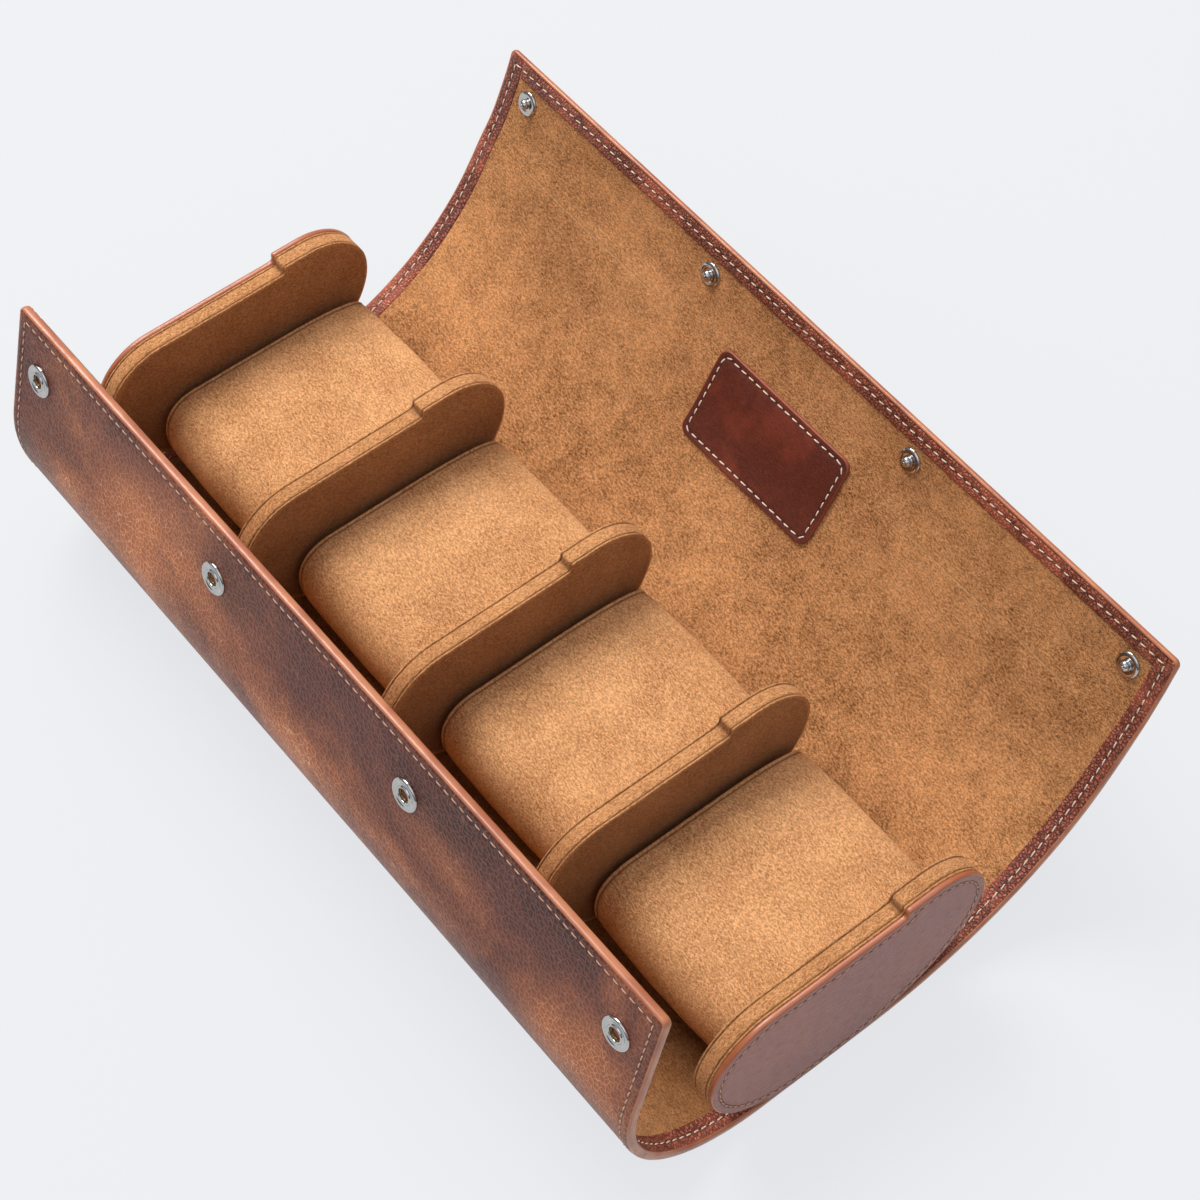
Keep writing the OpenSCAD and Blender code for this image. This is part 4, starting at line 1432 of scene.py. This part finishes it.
@dataclass
class Snaps:
    """Four snap sockets on the front flap and four studs on the back flap, each turned from a profile."""

    pitch: float = 103.3
    socket_in: float = 22.3
    stud_in: float = 14.5
    flange: tuple[Pair, ...] = (
        (6.0, -0.1), (6.08, 0.2), (6.04, 0.5), (5.86, 0.8), (5.55, 1.0), (5.2, 1.06), (4.85, 0.98),
        (4.5, 0.8), (4.1, 0.62), (3.75, 0.56), (3.5, 0.62), (3.32, 0.82), (3.18, 1.02), (2.98, 1.16),
        (2.74, 1.17), (2.58, 1.02), (2.48, 0.7), (2.44, 0.2), (2.44, -1.2)
    )
    spring: tuple[Pair, ...] = (
        (2.42, 0.5), (2.3, 0.62), (2.05, 0.5), (1.95, 0.1), (1.8, -0.35), (1.3, -0.5), (1.12, -0.55),
        (1.06, -0.9)
    )
    bottom: tuple[Pair, ...] = ((2.4, -1.4), (1.2, -1.45), (0.4, -1.5))
    stud: tuple[Pair, ...] = (
        (4.6, -0.3), (4.68, 0.05), (4.6, 0.32), (4.4, 0.52), (4.1, 0.66), (3.7, 0.76), (3.3, 0.8),
        (2.9, 0.78), (2.5, 0.68), (2.15, 0.6), (1.8, 0.62), (1.55, 0.8), (1.46, 1.1)
    )

    def build(self, wrap: Wrap) -> None:
        """Builds the sockets, with a brass spring ring and a near-black floor of painted shade in each bore,
        and the studs with their balls.
        """
        low, high = wrap.low + self.socket_in, wrap.high - self.stud_in
        socket = (low, 0.0, -wrap.normal(low), "front_flap")
        stud = (high, wrap.depth_at(high), wrap.normal(high), "back_flap")
        turns = [math.radians(a) for a in range(-35, 90, 12)]
        ball = [(1.9 * math.cos(a), 1.62 + 1.5 * math.sin(a)) for a in turns] + [(0.2, 3.12)]
        for name, look, slot, node, profile, closed, (s, depth, up, body) in (
            ("socket_flanges", Look.CHROME, "chrome", "snap_sockets", self.flange, False, socket),
            ("socket_springs", Look.BRASS, "brass", "snap_rings", self.spring, False, socket),
            # Painted shade: the near-black floor of each bore.
            ("socket_floors_painted_shade", Look.SOCKET_SHADE, "brass", None, self.bottom, True, socket),
            ("stud_heads", Look.CHROME, "chrome", "snap_studs", [*self.stud, *ball], True, stud),
        ):
            sheet = Sheet()
            for i in range(4):
                lathe(sheet, wrap.at((i - 1.5) * self.pitch, s, depth), up, profile, closed)
            made = sheet.build(name, look, slot)
            if node:
                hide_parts(node)
            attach(made, body)
            LOG.info("four %s at s %.1f mm", name, s)


@dataclass
class Label:
    """The bare leather patch on the back flap's lining.

    The rim gives the patch's section at its edge: how far in each ring lies, its share of the patch's height,
    how dark the seam is there and how much edge paint it has.
    """

    wide: float = 67.0
    tall: float = 38.0
    below: float = 32.0
    thick: float = 1.0
    corner: float = 4.3
    seam_in: float = 2.4
    rim: tuple[tuple[float, float, float, float], ...] = (
        (0.0, 0.0, 0, 0.8), (0.0, 0.55, 0, 1.0), (0.12, 0.85, 0, 0.9), (0.4, 0.99, 0, 0.35), (0.7, 1.0, 0, 0),
        (1.6, 0.97, 0, 0), (2.0, 0.9, 0.5, 0), (2.4, 0.8, 1, 0), (2.8, 0.9, 0.5, 0), (3.3, 0.98, 0, 0),
        (4.2, 1.0, 0, 0)
    )

    def outline(self, inset: float) -> list[Pair]:
        """Returns the patch's rounded outline about its middle, drawn in by an inset."""
        line = []
        for x, s, begin in ((1, 1, 0), (-1, 1, 90), (-1, -1, 180), (1, -1, 270)):
            cx, cs = x * (self.wide / 2 - self.corner), s * (self.tall / 2 - self.corner)
            for k in range(9):
                turn = math.radians(begin + 90 * k / 8)
                r = self.corner - inset
                line.append((cx + r * math.cos(turn), cs + r * math.sin(turn)))
        found = []
        for a, b in zip(line, line[1:] + line[:1]):
            steps = round(math.dist(a, b) / 1.7) if math.dist(a, b) > 3 else 1
            found += [between(a, b, k / steps) for k in range(steps)]
        return found

    def build(self, wrap: Wrap) -> None:
        """Builds the patch, its painted rim and its seam."""
        middle = wrap.high - self.below - self.tall / 2
        half_w, half_h, innermost = self.wide / 2, self.tall / 2, self.rim[-1][0]
        face = Sheet()

        def at(x: float, along: float, share: float) -> Vector:
            """Returns the point at a share of the patch's height."""
            return wrap.at(x, middle + along, wrap.depth_at(middle + along) + share * self.thick)

        def add(x: float, along: float, share: float = 1.0, **masks: float) -> int:
            """Adds a point of the patch."""
            return face.point(at(x, along, share), (x + 200, middle + along), **masks)

        rows = [
            [add(x, along, share, seam=seam, rim=rim) for x, along in self.outline(inset)]
            for inset, share, seam, rim in self.rim
        ]
        face.grid(rows, closed=True)
        shrink_x, shrink_s = (half_w - innermost) / half_w, (half_h - innermost) / half_h
        inner = [(x * shrink_x, along * shrink_s) for x, along in self.outline(0.0)]
        face.cover(rows[-1], inner, (0.75, 0.5, 0.25), add)
        patch = face.build("label_patch_leather", Look.LABEL, "label_leather")
        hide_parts("label_patch")
        wrap.hold(patch, wrap.folds[-1])
        thread = Sheet()
        Stitcher(length=2.7, radius=0.28, slant=3.0).ring(
            thread, self.outline(self.seam_in), at=lambda place: at(*place, 0.86),
            up=lambda place: wrap.normal(middle + place[1]), seed=lambda i: i * 5,
            track=lambda place: wrap.at(place[0], middle + place[1], 3.0)
        )
        wrap.hold(thread.build("label_stitches", Look.CREAM, "label_leather"), wrap.folds[-1])
        LOG.info("label patch about s %.1f mm", middle)


# Studio


@dataclass(frozen=True)
class Studio:
    """Camera, floor, world and lamps."""

    spot: Point = (452.47, -316.28, 890.96)
    azimuth: float = 51.27
    elevation: float = 55.995
    lens: float = 90.0
    backdrop: Rgb = (238, 239, 243)
    floor_half: float = 6.0
    floor_glow: float = 0.86

    def camera(self) -> None:
        """Sets the camera at the photograph's viewing angle."""
        data = bpy.data.cameras.new("view_camera")
        data.lens, data.sensor_width = self.lens, 36.0
        data.clip_start, data.clip_end = 0.05, 20.0
        made = linked("view_camera", data)
        made.location = Vector(self.spot) * MM
        made.rotation_euler = (math.radians(90 - self.elevation), 0.0, math.radians(self.azimuth))
        bpy.context.scene.camera = made

    def floor(self) -> None:
        """Lays a pale floor that keeps the roll's shadow."""
        mesh = bpy.data.meshes.new("studio_floor")
        corners = [
            (x * self.floor_half, y * self.floor_half, 0) for x, y in ((-1, -1), (1, -1), (1, 1), (-1, 1))
        ]
        mesh.from_pydata(corners, [], [(0, 1, 2, 3)])
        material = bpy.data.materials.new("floor_paper")
        material.use_nodes = True
        shader, nodes = Shader(material.node_tree), material.node_tree.nodes
        paper = nodes["Principled BSDF"]
        shader.feed(paper, {"Base Color": srgb((208, 212, 206)), "Roughness": 0.9, "Specular IOR Level": 0.1})
        glow = shader.add("ShaderNodeEmission", {"Color": srgb(self.backdrop)})
        ray = shader.add("ShaderNodeLightPath").outputs
        seen = shader.plus(ray["Is Camera Ray"], ray["Is Glossy Ray"])
        seen = shader.plus(seen, ray["Is Transmission Ray"], clamp=True)
        ends = {0: shader.times(seen, self.floor_glow), 1: paper.outputs[0], 2: glow.outputs[0]}
        shader.feed(nodes["Material Output"], {"Surface": shader.add("ShaderNodeMixShader", ends).outputs[0]})
        mesh.materials.append(material)
        linked("studio_floor", mesh)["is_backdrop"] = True

    def world(self) -> None:
        """Fills the room with plain soft light."""
        world = bpy.data.worlds.new("studio_world")
        bpy.context.scene.world = world
        world.use_nodes = True
        shader = Shader(world.node_tree)
        split = shader.add(
            "ShaderNodeSeparateXYZ", {0: shader.add("ShaderNodeTexCoord").outputs["Generated"]}
        )
        strength = shader.ramp(split.outputs["Z"], -0.05, 0.95, 0.14, 0.8)
        shader.feed(
            world.node_tree.nodes["Background"], {"Color": srgb((236, 238, 246)), "Strength": strength}
        )

    def lamp(self, name: str, at: Point, side: float, power: float, colour: Point) -> None:
        """Hangs a square soft box that points at the middle of the floor.

        Args:
            name: The lamp's name.
            at: Where it hangs, in metres.
            side: The length of its sides in metres.
            power: Its power in watts.
            colour: Its linear colour.
        """
        data = bpy.data.lights.new(name, "AREA")
        data.shape, data.size, data.size_y = "RECTANGLE", side, side
        data.energy, data.color = power, colour
        made = linked(name, data)
        made.location = at
        made.rotation_euler = (-Vector(at)).to_track_quat("-Z", "Y").to_euler()

    def build(self) -> None:
        """Builds the studio, camera first."""
        self.camera()
        self.floor()
        self.world()
        self.lamp("key_softbox", (-1.35, 0.2, 2.0), 1.3, 62.0, (1.0, 0.985, 0.965))
        self.lamp("fill_softbox", (0.3, -1.0, 1.3), 1.2, 3.2, (0.97, 0.98, 1.0))
        bpy.context.scene.view_settings.view_transform = "Standard"


def corners() -> list[list[float]]:
    """Returns the lowest and highest corners of what shows, as plain lists."""
    low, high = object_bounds()
    return [list(low), list(high)]


def main() -> None:
    """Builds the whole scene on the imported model."""
    logging.basicConfig(level=logging.INFO, format="%(name)s: %(message)s")
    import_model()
    Studio().build()
    wrap, dividers = Wrap(), Dividers()
    wrap.build()
    dividers.build()
    Pillows().build(dividers)
    Snaps().build(wrap)
    Label().build(wrap)
    rivets = bpy.data.objects["snap_rivets"].data
    rivets.materials.clear()
    rivets.materials.append(Look.BRASS.value.material())
    bpy.context.view_layer.update()


if __name__ == "__main__":
    main()
